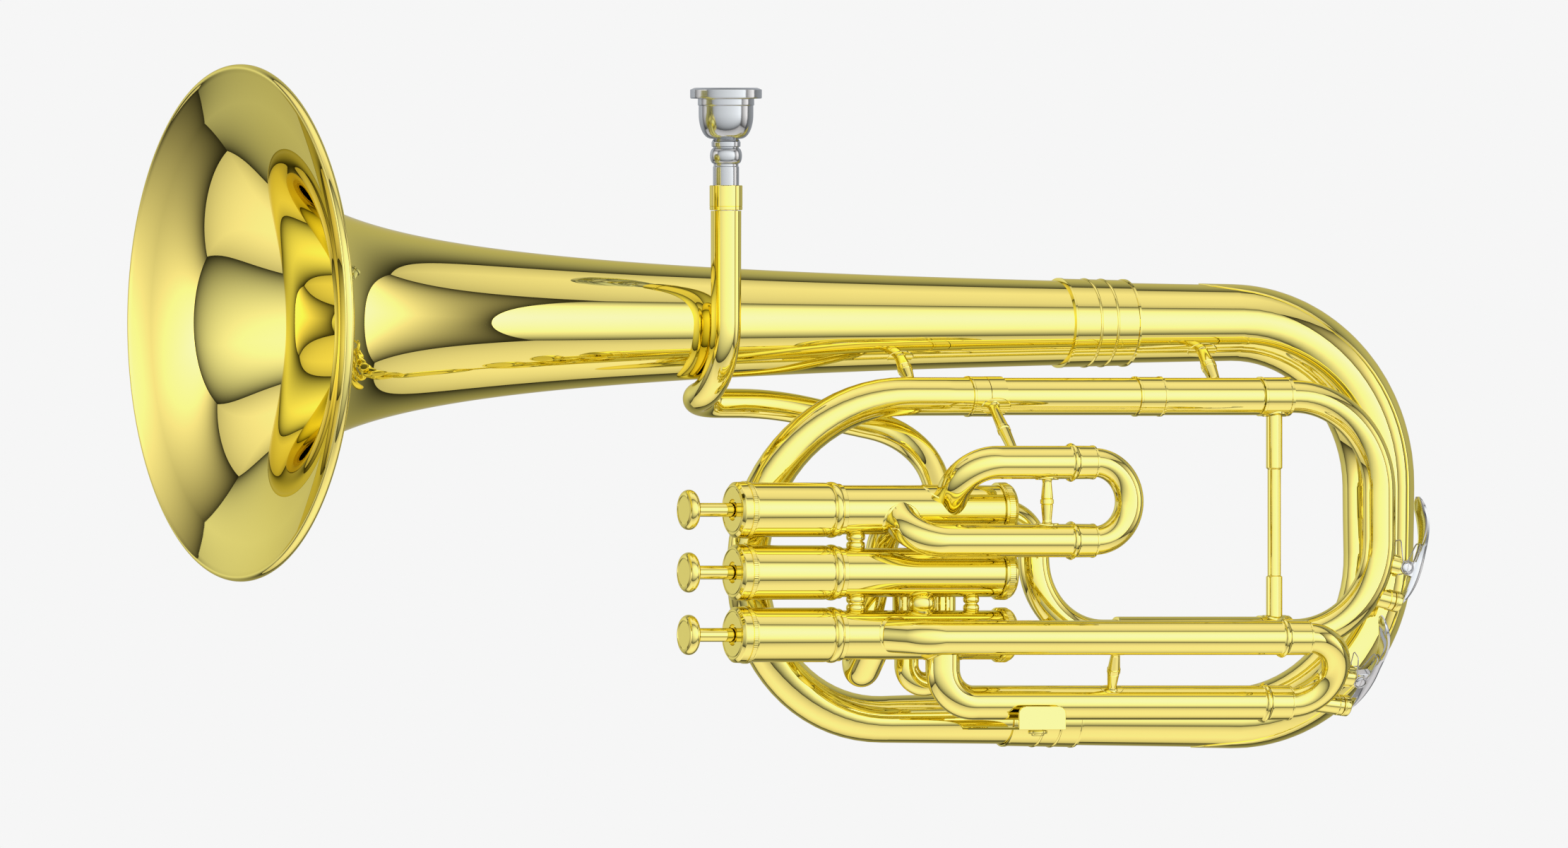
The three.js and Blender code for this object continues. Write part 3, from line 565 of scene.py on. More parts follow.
def make_bow_guard(bow, radius):
    """A thin sheet soldered over the outer side of the bow, pointed at both ends."""
    start, end = 65.0, way_length(bow) - 93.0
    outer = placed(radius, way_length(bow))
    columns, rows = 90, 40
    middle = Vector((BOW_X - BOW_BEND - 20, 0, BRANCH_UP / 2)) * MM
    top, bottom = [], []
    for i in range(columns + 1):
        distance = start + (end - start) * i / columns
        point, heading = place_at(bow, distance)
        share = min(1.0, 5.0 * min(i, columns - i) / columns)
        spread = GUARD_SPREAD * share ** 0.5
        away = point - middle
        away = (away - heading * away.dot(heading)).normalized()
        if distance < 84 or i < columns * GUARD_TIP:
            away = away.lerp(UPWARD - heading * heading.z, 0.7).normalized()
        across = heading.cross(away)
        base = value_at(outer, distance)
        for j in range(rows + 1):
            turn = spread * (2 * j / rows - 1)
            ring = away * math.cos(turn) + across * math.sin(turn)
            edge = 0.5 if 0 < j < rows else 0.3
            top.append(point + ring * (base + edge) * MM)
            bottom.append(point + ring * (base - 0.15) * MM)
    faces = []
    width = rows + 1
    size = len(top)
    for i in range(columns):
        for j in range(rows):
            a, b, c, d = i * width + j, i * width + j + 1, (i + 1) * width + j + 1, (i + 1) * width + j
            faces.append((a, d, c, b))
            faces.append((size + a, size + b, size + c, size + d))
        for j, flip in ((0, False), (rows, True)):
            a, d = i * width + j, (i + 1) * width + j
            face = (a, size + a, size + d, d)
            faces.append(face[::-1] if flip else face)
    for i, flip in ((0, True), (columns, False)):
        for j in range(rows):
            a, b = i * width + j, i * width + j + 1
            face = (a, size + a, size + b, b)
            faces.append(face[::-1] if flip else face)
    piece("bow_guard", top + bottom, faces)


# ---- Main tuning slide ----
def make_tuning_slide():
    upper = route((428, LEG_UP, LEG_OUT), (SLEEVE_END, LEG_UP, LEG_OUT))
    wide = BAND_RADIUS
    bands = [(0, SLEEVE_RADIUS), (0.3, wide), (9.9, wide), (10.2, SLEEVE_RADIUS), (89.5, SLEEVE_RADIUS)]
    bands += [(89.8, wide), (90.9, wide), (91.2, wide - 0.35), (104.1, wide - 0.35), (104.4, wide)]
    bands += [(105.5, wide), (105.8, SLEEVE_RADIUS), (-0.8, SLEEVE_RADIUS), (-0.1, SLEEVE_RADIUS - 0.3)]
    tube("tuning_slide_upper_sleeve", upper, bands)
    tube("loop_ferrule", route((417.6, LEG_UP, LEG_OUT), (427.9, LEG_UP, LEG_OUT)),
         [(0, 10.4), (0.3, 11.1), (1.4, 11.1), (1.7, 10.85), (10.3, 10.85)], wall=0.2)
    lower = route((507, LOWER_LEG_UP, LEG_OUT), (SLEEVE_END, LOWER_LEG_UP, LEG_OUT))
    tube("tuning_slide_lower_sleeve", lower,
         [(0, 9.0), (0.4, SLEEVE_RADIUS), (-0.8, SLEEVE_RADIUS), (-0.1, 9.8)])

    crook = route((TUNING_START, LEG_UP, LEG_OUT), (TUNING_X, LEG_UP, LEG_OUT, TUNING_BEND),
                  (TUNING_X, LOWER_LEG_UP, LEG_OUT, TUNING_BEND), (TUNING_START, LOWER_LEG_UP, LEG_OUT))
    first = SLEEVE_END + SEAM - TUNING_START
    last = first + COLLAR_LENGTH
    steps = [(0, TUNING_RADIUS), (first, TUNING_RADIUS), (first + 0.3, COLLAR_RADIUS),
             (first + 1.6, COLLAR_RADIUS), (first + 1.9, COLLAR_RADIUS - 0.35),
             (last - 1.9, COLLAR_RADIUS - 0.35), (last - 1.6, COLLAR_RADIUS), (last, COLLAR_RADIUS),
             (last + 0.4, TUNING_RADIUS)]
    tube("tuning_slide_crook", crook, two_ended(steps), sides=56, body="tuning_slide")

    reach = LEG_UP - LOWER_LEG_UP
    sleeves = [(0, 0), (0, 4.4), (31.7, 4.4), (32.2, 3.6), (reach - 39.2, 3.6), (reach - 38.7, 4.4)]
    profile = rounded(sleeves + [(reach, 4.4), (reach, 0)], 0.3)
    turned("tuning_slide_brace", at(BRACE_X, LOWER_LEG_UP, LEG_OUT), UPWARD, profile, sides=40,
           body="tuning_slide")
    for number, (up, outward) in enumerate(((LEG_UP, -UPWARD), (LOWER_LEG_UP, UPWARD))):
        patch(f"tuning_brace_foot_{number + 1}", at(BRACE_X, up, LEG_OUT), FORWARD, outward,
              COLLAR_RADIUS - 0.2, 7, 7, body="tuning_slide")


def two_ended(steps):
    """The same steps from both ends of a tube."""
    return steps + [(-d, r) for d, r in reversed(steps) if d > 0]


# ---- Mouthpiece, receiver and leadpipe ----
def make_mouthpipe():
    start = at(PIPE_X, 0, PIPE_OUT)
    ball = arc(90.2, 7.0, 4.1, 1.65, -90, 90, 12)
    quarter = [math.pi / 2 * k / 14 for k in range(15)]
    bowl = [(99.3 + 13.5 * (1 - math.cos(a)), 6.9 + 7.9 * math.sin(a) ** 0.8) for a in quarter]
    rim_outer = [(121.0, 15.25), (121.1, 19.0), (121.6, 19.4), (126.0, 19.4)]
    rim_top = [(127.0 - 1.1 + 1.1 * math.sin(math.pi * (k + 0.5) / 10), 19.3 - 6.4 * (k + 0.5) / 10)
               for k in range(10)]
    cup = [(125.2, 12.85), (122, 12.5), (116, 12.0), (111, 10.7), (107, 8.4), (104, 5.9), (102, 4.2),
           (100.5, 3.5), (98, 3.3), (80, 3.5), (46, 4.6)]
    outline = [(46, 5.7), (RECEIVER_TOP, 7.05), (84.3, 7.05), (84.6, 6.7), (85.8, 6.7)]
    outline += ball + [(94.6, 6.95), (95.0, 7.0), (95.2, 7.8), (97.6, 7.85), (98.4, 7.4), (99.1, 6.9)]
    outline += bowl + [(117.3, 14.8), (117.6, 15.25)] + rim_outer + rim_top + cup
    turned("mouthpiece", start, UPWARD, rounded(outline, 0.2), sides=96, material=SATIN, body="mouthpiece")
    sleeve = [(RECEIVER_BOTTOM, 7.4), (RECEIVER_BOTTOM, 8.5), (RECEIVER_BOTTOM + 0.3, 8.85),
              (RECEIVER_BOTTOM + 1.8, 8.9), (RECEIVER_BOTTOM + 2.0, 8.7), (RECEIVER_BOTTOM + 2.2, 8.9),
              (RECEIVER_TOP - 0.3, 8.9), (RECEIVER_TOP, 8.6), (RECEIVER_TOP, 7.4)]
    turned("mouthpiece_receiver", start, UPWARD, sleeve)
    way = route((PIPE_X, RECEIVER_BOTTOM - 0.3, PIPE_OUT), (PIPE_X, -32.6, PIPE_OUT, 40.3),
                (PIPE_X, -43.2, -10.5, 19), (325, -43.5, -10, 60), (392, -61, 34.5, 48), (393, -97.5, 63))
    tube("leadpipe", way, [(0, 8.25), (way_length(way), 7.6)], sides=56)
    patch("leadpipe_port_flange", at(393, VALVE_UP[0], VALVE_OUT), FORWARD,
          Vector((0, 0.9, 0.42)).normalized(), CASING_RADIUS, 10.5, 10.5)


# ---- Valves ----
def knurl(first, last, count, depth):
    def wave(along, angle):
        if first < along < last:
            return depth * abs(math.sin(angle * count / 2)) - depth
        return 0
    return wave


def make_valve(number):
    up = VALVE_UP[number]
    name = f"valve_{number + 1}_"
    body = f"valve_{number + 1}"
    centre = at(0, up, VALVE_OUT)

    def turn(part, profile, **looks):
        return turned(name + part, centre, FORWARD, profile, **looks)

    outline = [(265, CASING_BORE), (265, 13), (270.4, 13), (270.4, UPPER_CASING_RADIUS - 0.2),
               (270.9, UPPER_CASING_RADIUS), (315.2, UPPER_CASING_RADIUS)]
    outline += arc(315.2, 14.1, 2.3, 0.65, 15, 90, 5) + [(317.9, 14.1)]
    outline += arc(320.1, 14.2, 2.1, 1.0, -90, 90, 8)
    outline += [(324.7, 14.2), (324.9, 14), (324.9, CASING_RADIUS), (418.6, CASING_RADIUS), (418.6, 12.95),
                (422.5, 12.95), (422.5, CASING_BORE), (329, CASING_BORE), (329, 4.6), (326, 4.6),
                (326, CASING_BORE)]
    turn("casing", outline, sides=72)

    cap = [(262.6, 5.65), (261.4, 5.9), (261.4, 11.9), (261.6, 12.1), (261.6, 12.5), (261.4, 12.7),
           (261.4, 13.4), (262.9, 15.1), (267.0, 15.3), (267.2, 15.05), (267.4, 15.05), (267.6, 15.6),
           (269.9, 15.6), (270.1, 15.3), (270.1, 13.2), (264.6, 13.2), (264.6, 5.65)]
    turn("top_cap", cap, sides=288, wave=knurl(267.5, 270.0, 90, 0.16), crease=50)
    bush = rounded([(262.8, 4.1), (262.8, 5.75), (266.5, 5.75), (266.5, 4.1)], 0.2)
    turned(f"{name}bush", centre, FORWARD, bush, sides=48)
    base = [(418.9, 13.2), (418.9, 14.6), (419.1, 14.8), (420.2, 14.8), (420.4, 14.5), (420.6, 14.5),
            (420.8, 14.9), (423.9, 14.9), (424.1, 14.5)]
    base += arc(424.1, 11.6, 2.9, 2.8, 0, 90, 6)
    base += [(427, 3), (426.6, 2.5), (422.9, 2.5), (422.9, 13.2)]
    turn("bottom_cap", base, sides=288, wave=knurl(420.7, 424.0, 90, 0.16), crease=50)

    stem = [(239.6, 0), (239.6, STEM_RADIUS), (280, STEM_RADIUS), (280, 11), (283, 11), (283, STEM_RADIUS),
            (330.7, STEM_RADIUS), (330.7, 0)]
    turn("stem", rounded(stem, 0.2), sides=48, body=body)
    button = [(232.5, 0), (232.5, 7.4), (232.25, 7.9), (232.4, 8.8)]
    button += arc(235.3, 8.6, 2.9, 2.3, -90, 90, 14)[1:-1]
    button += [(238.5, 7.6), (238.9, 5.6), (239.3, 4.6), (239.3, 0)]
    turn("button", button, body=body)
    felt = rounded([(276.4, 4.1), (276.4, 10.6), (279.8, 10.6), (279.8, 4.1)], 0.5)
    turned(f"{name}felt", centre, FORWARD, felt, sides=40, material=FELT, body=body)
    make_valve_spring(f"{name}spring", up, body)


def make_valve_spring(name, up, body):
    """The spring rides on its valve."""
    turns, steps, radius = 8, 24, 8.2
    start, end = 284.0, 325.2
    coil = []
    for k in range(turns * steps + 1):
        angle = 2 * math.pi * k / steps
        coil.append(at(start + (end - start) * k / (turns * steps), up + radius * math.cos(angle),
                       VALVE_OUT + radius * math.sin(angle)))
    spring = wire(name, coil, 0.6, body, sides=10)
    tuple(at(start, up, VALVE_OUT))
    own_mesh(spring)


def make_casing_links():
    def link(name, x, valve, profile):
        low = VALVE_UP[valve + 1]
        turned(name, at(x, low, VALVE_OUT), UPWARD, profile, sides=48)

    length = VALVE_UP[0] - VALVE_UP[1]
    middle = length / 2

    def barrel(radius):
        half = [(LINK_SINK, 0)] + arc(middle - 2.3, radius - 0.9, 2.0, 1.1, -90, 90, 12)
        return half + [(length - a, r) for a, r in reversed(half)]

    ball = [(0, 0), (0, 7.2), (middle - 6, 7.0)] + arc(middle, 6.0, 3.9, 1.7, -90, 90, 12)
    ball += [(middle + 6, 7.0), (length, 7.2), (length, 0)]
    link("casing_link_1_2", 335, 0, barrel(5))
    link("casing_link_2_3", 335, 1, barrel(5))
    link("valve_port_2_3", 374, 1, ball)
    link("casing_post_2_3", 404, 1, barrel(4.2))


# ---- Valve slides ----
def slide_sleeve(name, stops, size):
    way = route(*stops)
    r = size["radius"]
    profile = [(0, r), (-3.6, r), (-3.3, r + 0.2), (-2.8, r + 1.1), (-1.9, r + 1.5), (-1.0, r + 1.1),
               (-0.5, r + 0.2), (-0.2, r - 0.1)]
    tube(name, way, profile, sides=56)


def slide_crook(name, size, start, centre, body):
    half_up = (size["upper"][0] - size["lower"][0]) / 2
    half_out = (size["upper"][1] - size["lower"][1]) / 2
    bend = math.hypot(half_up, half_out)
    way = route((start, *size["upper"]), (centre + bend, *size["upper"], bend - 0.02),
                (centre + bend, *size["lower"], bend - 0.02), (start, *size["lower"]))
    first = size["end"] + SEAM - start
    last = centre - start
    r = size["radius"]
    steps = [(0, size["crook"]), (first, size["crook"]), (first + 0.2, r), (first + 0.8, r + 0.1),
             (last - 1.6, r), (last - 1.4, r + 0.25), (last - 0.5, r + 0.25), (last - 0.2, size["crook"])]
    tube(name, way, two_ended(steps), sides=56, body=body)


def slide_stay(name, size, upper_x, lower_x):
    """The stay between the two sleeves of a slide."""
    upper, lower = at(upper_x, *size["upper"]), at(lower_x, *size["lower"])
    inset = (lower - upper).normalized() * size["radius"] * SLIDE_FOOT_SINK * MM
    stay(name, upper + inset, lower - inset, 2.5, 3.3,
         feet=((upper, FORWARD, size["radius"], lower - upper, 7),
               (lower, FORWARD, size["radius"], upper - lower, 7)))


def make_first_slide():
    slide_sleeve("first_slide_upper_sleeve", ((388, -98, 80), (388, *FIRST["upper"], 20),
                 (FIRST["end"], *FIRST["upper"])), FIRST)
    slide_sleeve("first_slide_lower_sleeve", ((357, -103, 80), (357, *FIRST["lower"], 18),
                 (FIRST["end"], *FIRST["lower"])), FIRST)
    slide_crook("first_slide_crook", FIRST, 412, 466, "first_slide")
    slide_stay("first_slide_stay", FIRST, 438, 438)
    make_port_flange("first_slide_upper", 384, 0, Vector((0, -0.35, 0.94)))
    make_port_flange("first_slide_lower", 357, 0, Vector((0, -0.86, -0.5)))


def make_port_flange(name, x, valve, outward):
    """The thin saddle where a tube meets a valve casing."""
    patch(f"{name}_port_flange", at(x, VALVE_UP[valve], VALVE_OUT), FORWARD, outward.normalized(),
          CASING_RADIUS, 11.5, 11, thickness=0.35)


def make_third_slide():
    slide_sleeve("third_slide_upper_sleeve", ((352, -168.6, 82), (366, *THIRD["upper"], 15),
                 (THIRD["end"], *THIRD["upper"])), THIRD)
    slide_sleeve("third_slide_lower_sleeve", ((387, -177, 74), (387, *THIRD["lower"], 18),
                 (THIRD["end"], *THIRD["lower"])), THIRD)
    slide_crook("third_slide_crook", THIRD, 478, 594, "third_slide")
    slide_stay("third_slide_stay", THIRD, 480, 487)
    make_port_flange("third_slide_upper", 354, 2, Vector((0, -1, 0.05)))
    make_port_flange("third_slide_lower", 387, 2, Vector((0, 0, -1)))


def make_second_slide():
    top = VALVE_UP[1]
    r = SECOND["radius"]
    for side in ("near", "far"):
        x = SECOND[side]
        way = route((x, top, VALVE_OUT - 10), (x, top, SECOND["out"], 12), (x, SECOND["end"], SECOND["out"]))
        name = f"second_slide_{side}_sleeve"
        tube(name, way, [(0, r), (-2.4, r), (-2.1, r + 0.9), (-0.4, r + 0.9), (-0.1, r)])
    bend = (SECOND["far"] - SECOND["near"]) / 2
    low = SECOND["end"] - 13.5 - bend
    start = SECOND["end"] + 20
    way = route((SECOND["near"], start, SECOND["out"]), (SECOND["near"], low, SECOND["out"], bend - 0.02),
                (SECOND["far"], low, SECOND["out"], bend - 0.02), (SECOND["far"], start, SECOND["out"]))
    c = SECOND["crook"]
    steps = [(0, c), (20.3, c), (20.5, r), (27.5, r), (27.9, c)]
    tube("second_slide_crook", way, two_ended(steps), body="second_slide")


def make_outlet_tube():
    way = route((350, -174, 67), (350, -192, 48, 9), (352.5, -182, 39, 9), (372, -103.4, 38, 22),
                (457, -103.4, 38, 20), (460, LOWER_LEG_UP, LEG_OUT, 41), (506.6, LOWER_LEG_UP, LEG_OUT))
    tube("outlet_tube", way, [(0, 8.5)], sides=56)


# ---- Stays ----
def make_stays():
    def between(name, a, ra, b, rb, thin, thick, size):
        reach = (b - a).normalized()
        stay(name, a + reach * ra * FOOT_SINK * MM, b - reach * rb * FOOT_SINK * MM, thin, thick,
             feet=((a, FORWARD, ra, reach, size), (b, FORWARD, rb, -reach, size)))

    between("bell_to_loop_stay", at(388, 0, 0), bell_radius(388), at(388, LEG_UP, 38.2), 10.6, 3.0, 3.8, 8)
    between("bow_to_sleeve_stay", at(570, 0, 0), 20.9, at(570, LEG_UP, LEG_OUT), SLEEVE_RADIUS, 3.0, 3.9, 9)
    start, end = at(431, LEG_UP, LEG_OUT), at(421, *FIRST["upper"])
    reach = (end - start).normalized()
    stay("sleeve_to_first_slide_stay", start + reach * 10.8 * MM, end - reach * FIRST["radius"] * MM,
         2.6, 3.3,
         feet=((start, FORWARD, BAND_RADIUS, flattened(reach), 9),
               (end, FORWARD, FIRST["radius"], -flattened(reach), 9)))


def flattened(direction):
    """The direction with its part along the tubes taken out."""
    return Vector((0, direction.y, direction.z)).normalized()


# ---- Finger plate ----
def make_finger_plate():
    left, right, low, high, radius = 426.6, 454.6, -219.6, -207.0, 4.0
    outline = [(left, low), (right, low)]
    outline += arc(right - radius, high - radius, radius, radius, 90, 0, 8)
    outline += arc(left + radius, high - radius, radius, radius, 0, -90, 8)
    upright = prism("finger_plate", outline, at(0, 0, 85.6), (FORWARD, UPWARD, Vector((0, -1, 0))), 1.4,
                    stands_for=())
    shelf = [(left, -86.5), (right, -86.5), (right, -14.5), (left, -14.5)]
    prism("finger_plate_shelf", shelf, at(0, low, 0), (FORWARD, Vector((0, 1, 0)), UPWARD), 1.4)
    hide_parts("finger_plate")
    screw = [(0, 0), (0, 2.8), (0.4, 3.6), (1.2, 3.6), (1.2, 5.1), (2.2, 5.3), (3.2, 5.1), (3.2, 0)]
    turned("finger_plate_screw", at(450.4, low - 3.4, 60), UPWARD, rounded(screw, 0.3), sides=40)


def prism(name, outline, origin, axes, depth, bevel=0.35, **looks):
    """A flat plate from an outline, with small bevels on both faces."""
    across, along, outward = axes
    count = len(outline)
    centre = Vector((sum(p[0] for p in outline) / count, sum(p[1] for p in outline) / count))

    def ring(level, inset):
        points = []
        for i, p in enumerate(outline):
            before = Vector(outline[i - 1]) - Vector(p)
            after = Vector(outline[(i + 1) % count]) - Vector(p)
            inward = (before.normalized() + after.normalized())
            if inward.length < 1e-3 or inward.dot(centre - Vector(p)) < 0:
                inward = centre - Vector(p)
            spot = Vector(p) + inward.normalized() * inset
            points.append(origin + (across * spot.x + along * spot.y + outward * level) * MM)
        return points

    levels = ((0, bevel), (bevel, 0), (depth - bevel, 0), (depth, bevel))
    vertices = [v for level, inset in levels for v in ring(level, inset)]
    faces = [[k for k in reversed(range(count))], [3 * count + k for k in range(count)]]
    for level in range(3):
        for k in range(count):
            n = (k + 1) % count
            a = level * count
            faces.append((a + k, a + n, a + count + n, a + count + k))
    return piece(name, vertices, faces, crease=30, **looks)


# ---- Water keys ----
def make_water_key(name, slide, centre, bend, pipe_radius, along, angle):
    """A lever on a pivot above its crook. Places on it are (along the lever, away from the crook, across)."""
    outward = FORWARD * math.cos(angle) + along * math.sin(angle)
    tangent = along * math.cos(angle) - FORWARD * math.sin(angle)
    side = outward.cross(tangent)
    lift = bend + pipe_radius + KEY_LIFT
    pivot = centre + outward * lift * MM
    axes = (tangent, outward, side)
    key = f"{name}_water_key"

    def spot(t, o, z=0.0):
        return pivot + (tangent * t + outward * o + side * z) * MM

    make_lever(f"{key}_lever", spot, key)
    boss = [(-4.2, 5.0), (-2.9, -0.6)] + arc(0, 0, 2.9, 2.9, -108, -252, 12) + [(2.9, -0.6), (4.6, 6.0)]
    prism(f"{name}_key_boss", boss, spot(0, 0, -2.6), axes, 5.2, material=SILVER, body=key)
    cup = [(0, 0), (0, 5.4), (0.3, 5.75), (0.9, 5.75), (1.1, 5.6), (1.3, 5.75), (3.5, 5.75), (4.2, 5.1),
           (4.4, 0)]
    turned(f"{name}_key_cup", spot(CUP_AT, CUP_LOW), outward, rounded(cup, 0.2), sides=56, body=key)
    turned(f"{name}_key_cork", spot(CUP_AT, CUP_LOW - 0.25), outward,
           rounded([(0, 0), (0, 4.8), (0.4, 4.8), (0.4, 0)], 0.1), sides=36, material=CORK, body=key)

    nipple = [(-20.5, 1.7), (-20.5, 5.1), (-5.8, 5.3), (-5.5, 5.7), (-3.3, 5.7), (-2.95, 5.4), (-2.95, 1.7)]
    seat = turned(f"{name}_key_nipple", spot(CUP_AT, 0), outward, nipple, sides=56, body=slide)
    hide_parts(f"{key}_seat")
    post = [(-16, 0), (-16, 5.9), (-4.0, 5.9), (-4.0, 0)]
    turned(f"{name}_key_post", pivot, outward, rounded(post, 0.3), sides=56, body=slide)
    bar = []
    for radius, places in ((lift - KEY_LIFT + 0.6, range(9)), (lift - KEY_LIFT - 2.0, reversed(range(9)))):
        for k in places:
            turn = math.asin((-17 + 14 * k / 8) / radius)
            bar.append((radius * math.sin(turn), radius * math.cos(turn) - lift))
    prism(f"{name}_key_bar", bar, spot(0, 0, -2.5), axes, 5.0, bevel=0.2, body=slide)
    lug = [(-4.6, -KEY_LIFT - 2), (4.6, -KEY_LIFT - 2), (4.4, -4.0)] + arc(0, 0, 2.9, 2.9, 90, -90, 16)
    lug += [(-4.4, -4.0)]
    for number, offset in enumerate((-4.5, 3.0)):
        prism(f"{name}_key_lug_{number + 1}", lug, spot(0, 0, offset), axes, 1.5, body=slide)

    screw = [(-4.9, 0), (-4.9, 1.2), (4.7, 1.2), (4.7, 2.8), (5.0, 3.0), (5.4, 2.9), (5.8, 2.1), (5.9, 0)]
    turned(f"{name}_key_screw", pivot, side, rounded(screw, 0.2), sides=48, material=SILVER, body=slide,
           stands_for=(f"{key}_screw",))
    slot_shape = [(-2.5, -0.3), (2.5, -0.3), (2.5, 0.3), (-2.5, 0.3)]
    prism(f"{name}_key_screw_slot", slot_shape, spot(0, 0, 5.74), axes, 0.22, bevel=0.05, material=STEEL,
          body=slide)
    make_key_spring(name, spot, slide, key)


def make_lever(name, spot, body):
    """A crescent seen from its side and a leaf seen from above, thin under the thumb."""
    top = bezier([(-20.5, 2.0), (-12, 9.2), (2, 10.2)], 12) + bezier([(2, 10.2), (22, 11), (32, 5.6)], 16)[1:]
    top += bezier([(32, 5.6), (36.6, 3.2), (39.4, 0.9)], 12)[1:]
    under = bezier([(-20.5, 1.2), (-12, 4.4), (2, 5.2)], 12)
    under += bezier([(2, 5.2), (21, 9.6), (31.4, 2.9)], 16)[1:]
    under += bezier([(31.4, 2.9), (36, 0.9), (39.0, 0.2)], 12)[1:]
    vertices, faces = [], []
    for (tx, ty), (ux, uy) in zip(top, under):
        width = 2.7 + 4.3 * smooth_step(6, 29, tx)
        if tx > 31:
            width *= max(0.12, 1 - ((tx - 31) / 8.5) ** 2) ** 0.5
        if tx < -16:
            width *= 1 - 0.25 * ((tx + 16) / 4.5) ** 2
        vertices += [spot(*place) for place in section(tx, ty, ux, uy, width, 0.5 * smooth_step(12, 28, tx))]
    ring = len(vertices) // len(top)
    for i in range(len(top) - 1):
        for k in range(ring):
            n = (k + 1) % ring
            faces.append((i * ring + n, i * ring + k, (i + 1) * ring + k, (i + 1) * ring + n))
    faces.append(list(range(ring)))
    faces.append([(len(top) - 1) * ring + k for k in reversed(range(ring))])
    piece(name, vertices, faces, material=SILVER, body=body, crease=50)


def make_key_spring(name, spot, slide, key):
    """Two wire coils round the pivot, with one loop on the crook and one under the lever."""
    coil = arc(0, 0, 3.6, 3.6, 140, 760, 31)
    lower, upper = [], []
    for direction in (1, -1):
        arm = [(13.9, -6.1, 0), (13.8, -6.1, 2.4 * direction), (12.8, -5.9, 3.5 * direction),
               (5.5, -4.1, 4.8 * direction)]
        arm += [(t, o, (4.8 + 0.012 * k) * direction) for k, (t, o) in enumerate(coil)]
        lower.append(arm)
        upper.append([(14.4, 5.9, 0), (14.3, 5.9, 2.2 * direction), (13.2, 5.8, 3.2 * direction),
                      (5.6, 4.2, 4.6 * direction), (2.3, 2.8, 4.9 * direction)])
    for part, (near, far), body in (("spring", lower, slide), ("spring_arm", upper, key)):
        points = near[::-1] + far[1:]
        wire(f"{name}_key_{part}", [spot(*p) for p in points], 0.38, body)


def wire(name, spots, radius, body, sides=8, **looks):
    last = len(spots) - 1
    headings = [(spots[min(k + 1, last)] - spots[max(k - 1, 0)]).normalized() for k in range(last + 1)]
    return tube(name, with_distances(list(zip(spots, headings))), [(0, radius)], wall=None, sides=sides,
                material=STEEL, body=body, **looks)


def section(tx, ty, ux, uy, width, dish):
    """One rounded cross-section of a lever, from its upper edge to its under edge."""
    count = 8

    def row(x, y, other_x, other_y, places):
        points = []
        for k in places:
            z = width * (2 * k / count - 1)
            sink = dish * (z / width) ** 2
            edge = 0.25 if k in (0, count) else 0
            points.append((x + (other_x - x) * edge, y + (other_y - y) * edge - sink, z))
        return points

    places = range(count + 1)
    return row(tx, ty, ux, uy, places) + row(ux, uy, tx, ty, reversed(places))


def smooth_step(low, high, value):
    share = min(1.0, max(0.0, (value - low) / (high - low)))
    return share * share * (3 - 2 * share)


def bezier(points, steps):
    (x0, y0), (x1, y1), (x2, y2) = points
    curve = []
    for k in range(steps + 1):
        t = k / steps
        a, b, c = (1 - t) ** 2, 2 * t * (1 - t), t ** 2
        curve.append((a * x0 + b * x1 + c * x2, a * y0 + b * y1 + c * y2))
    return curve


def make_water_keys():
    middle = at(SLEEVE_END + 21.5, LOWER_LEG_UP + TUNING_BEND, LEG_OUT)
    make_water_key("tuning", "tuning_slide", middle, TUNING_BEND, TUNING_RADIUS, UPWARD, -0.218)
    upper, lower = at(594, *THIRD["upper"]), at(594, *THIRD["lower"])
    bend = (upper - lower).length / 2 / MM
    make_water_key("third_slide", "third_slide", (upper + lower) / 2, bend, THIRD["crook"],
                   (upper - lower).normalized(), -0.122)


# ---- Camera, light and floor ----
def make_camera():
    turn = math.radians(VIEW_AZIMUTH)
    back = Vector((math.sin(turn), -math.cos(turn), 0))
    right = Vector((math.cos(turn), math.sin(turn), 0))
    data = bpy.data.cameras.new("camera")
    data.type = "ORTHO"
    data.ortho_scale = VIEW_WIDTH
    data.clip_end = 100
    camera = bpy.data.objects.new("camera", data)
    camera.location = right * VIEW_RIGHT + UPWARD * VIEW_UP + back * VIEW_DISTANCE
    camera.rotation_euler = (-back).to_track_quat("-Z", "Y").to_euler()
    bpy.context.scene.collection.objects.link(camera)
    bpy.context.scene.camera = camera


def make_floor():
    low = cad_box[0].z - 0.0005
    size = 30
    mesh = bpy.data.meshes.new("floor")
    mesh.from_pydata([(-size, -size, low), (size, -size, low), (size, size, low), (-size, size, low)], [],
                     [(0, 1, 2, 3)])
    floor = bpy.data.objects.new("floor", mesh)
    material, _, _, shader = new_material("pale_floor")
    shader.inputs["Base Color"].default_value = (0.88, 0.88, 0.88, 1)
    shader.inputs["Roughness"].default_value = 0.9
    mesh.materials.append(material)
    bpy.context.scene.collection.objects.link(floor)
    floor.visible_glossy = False


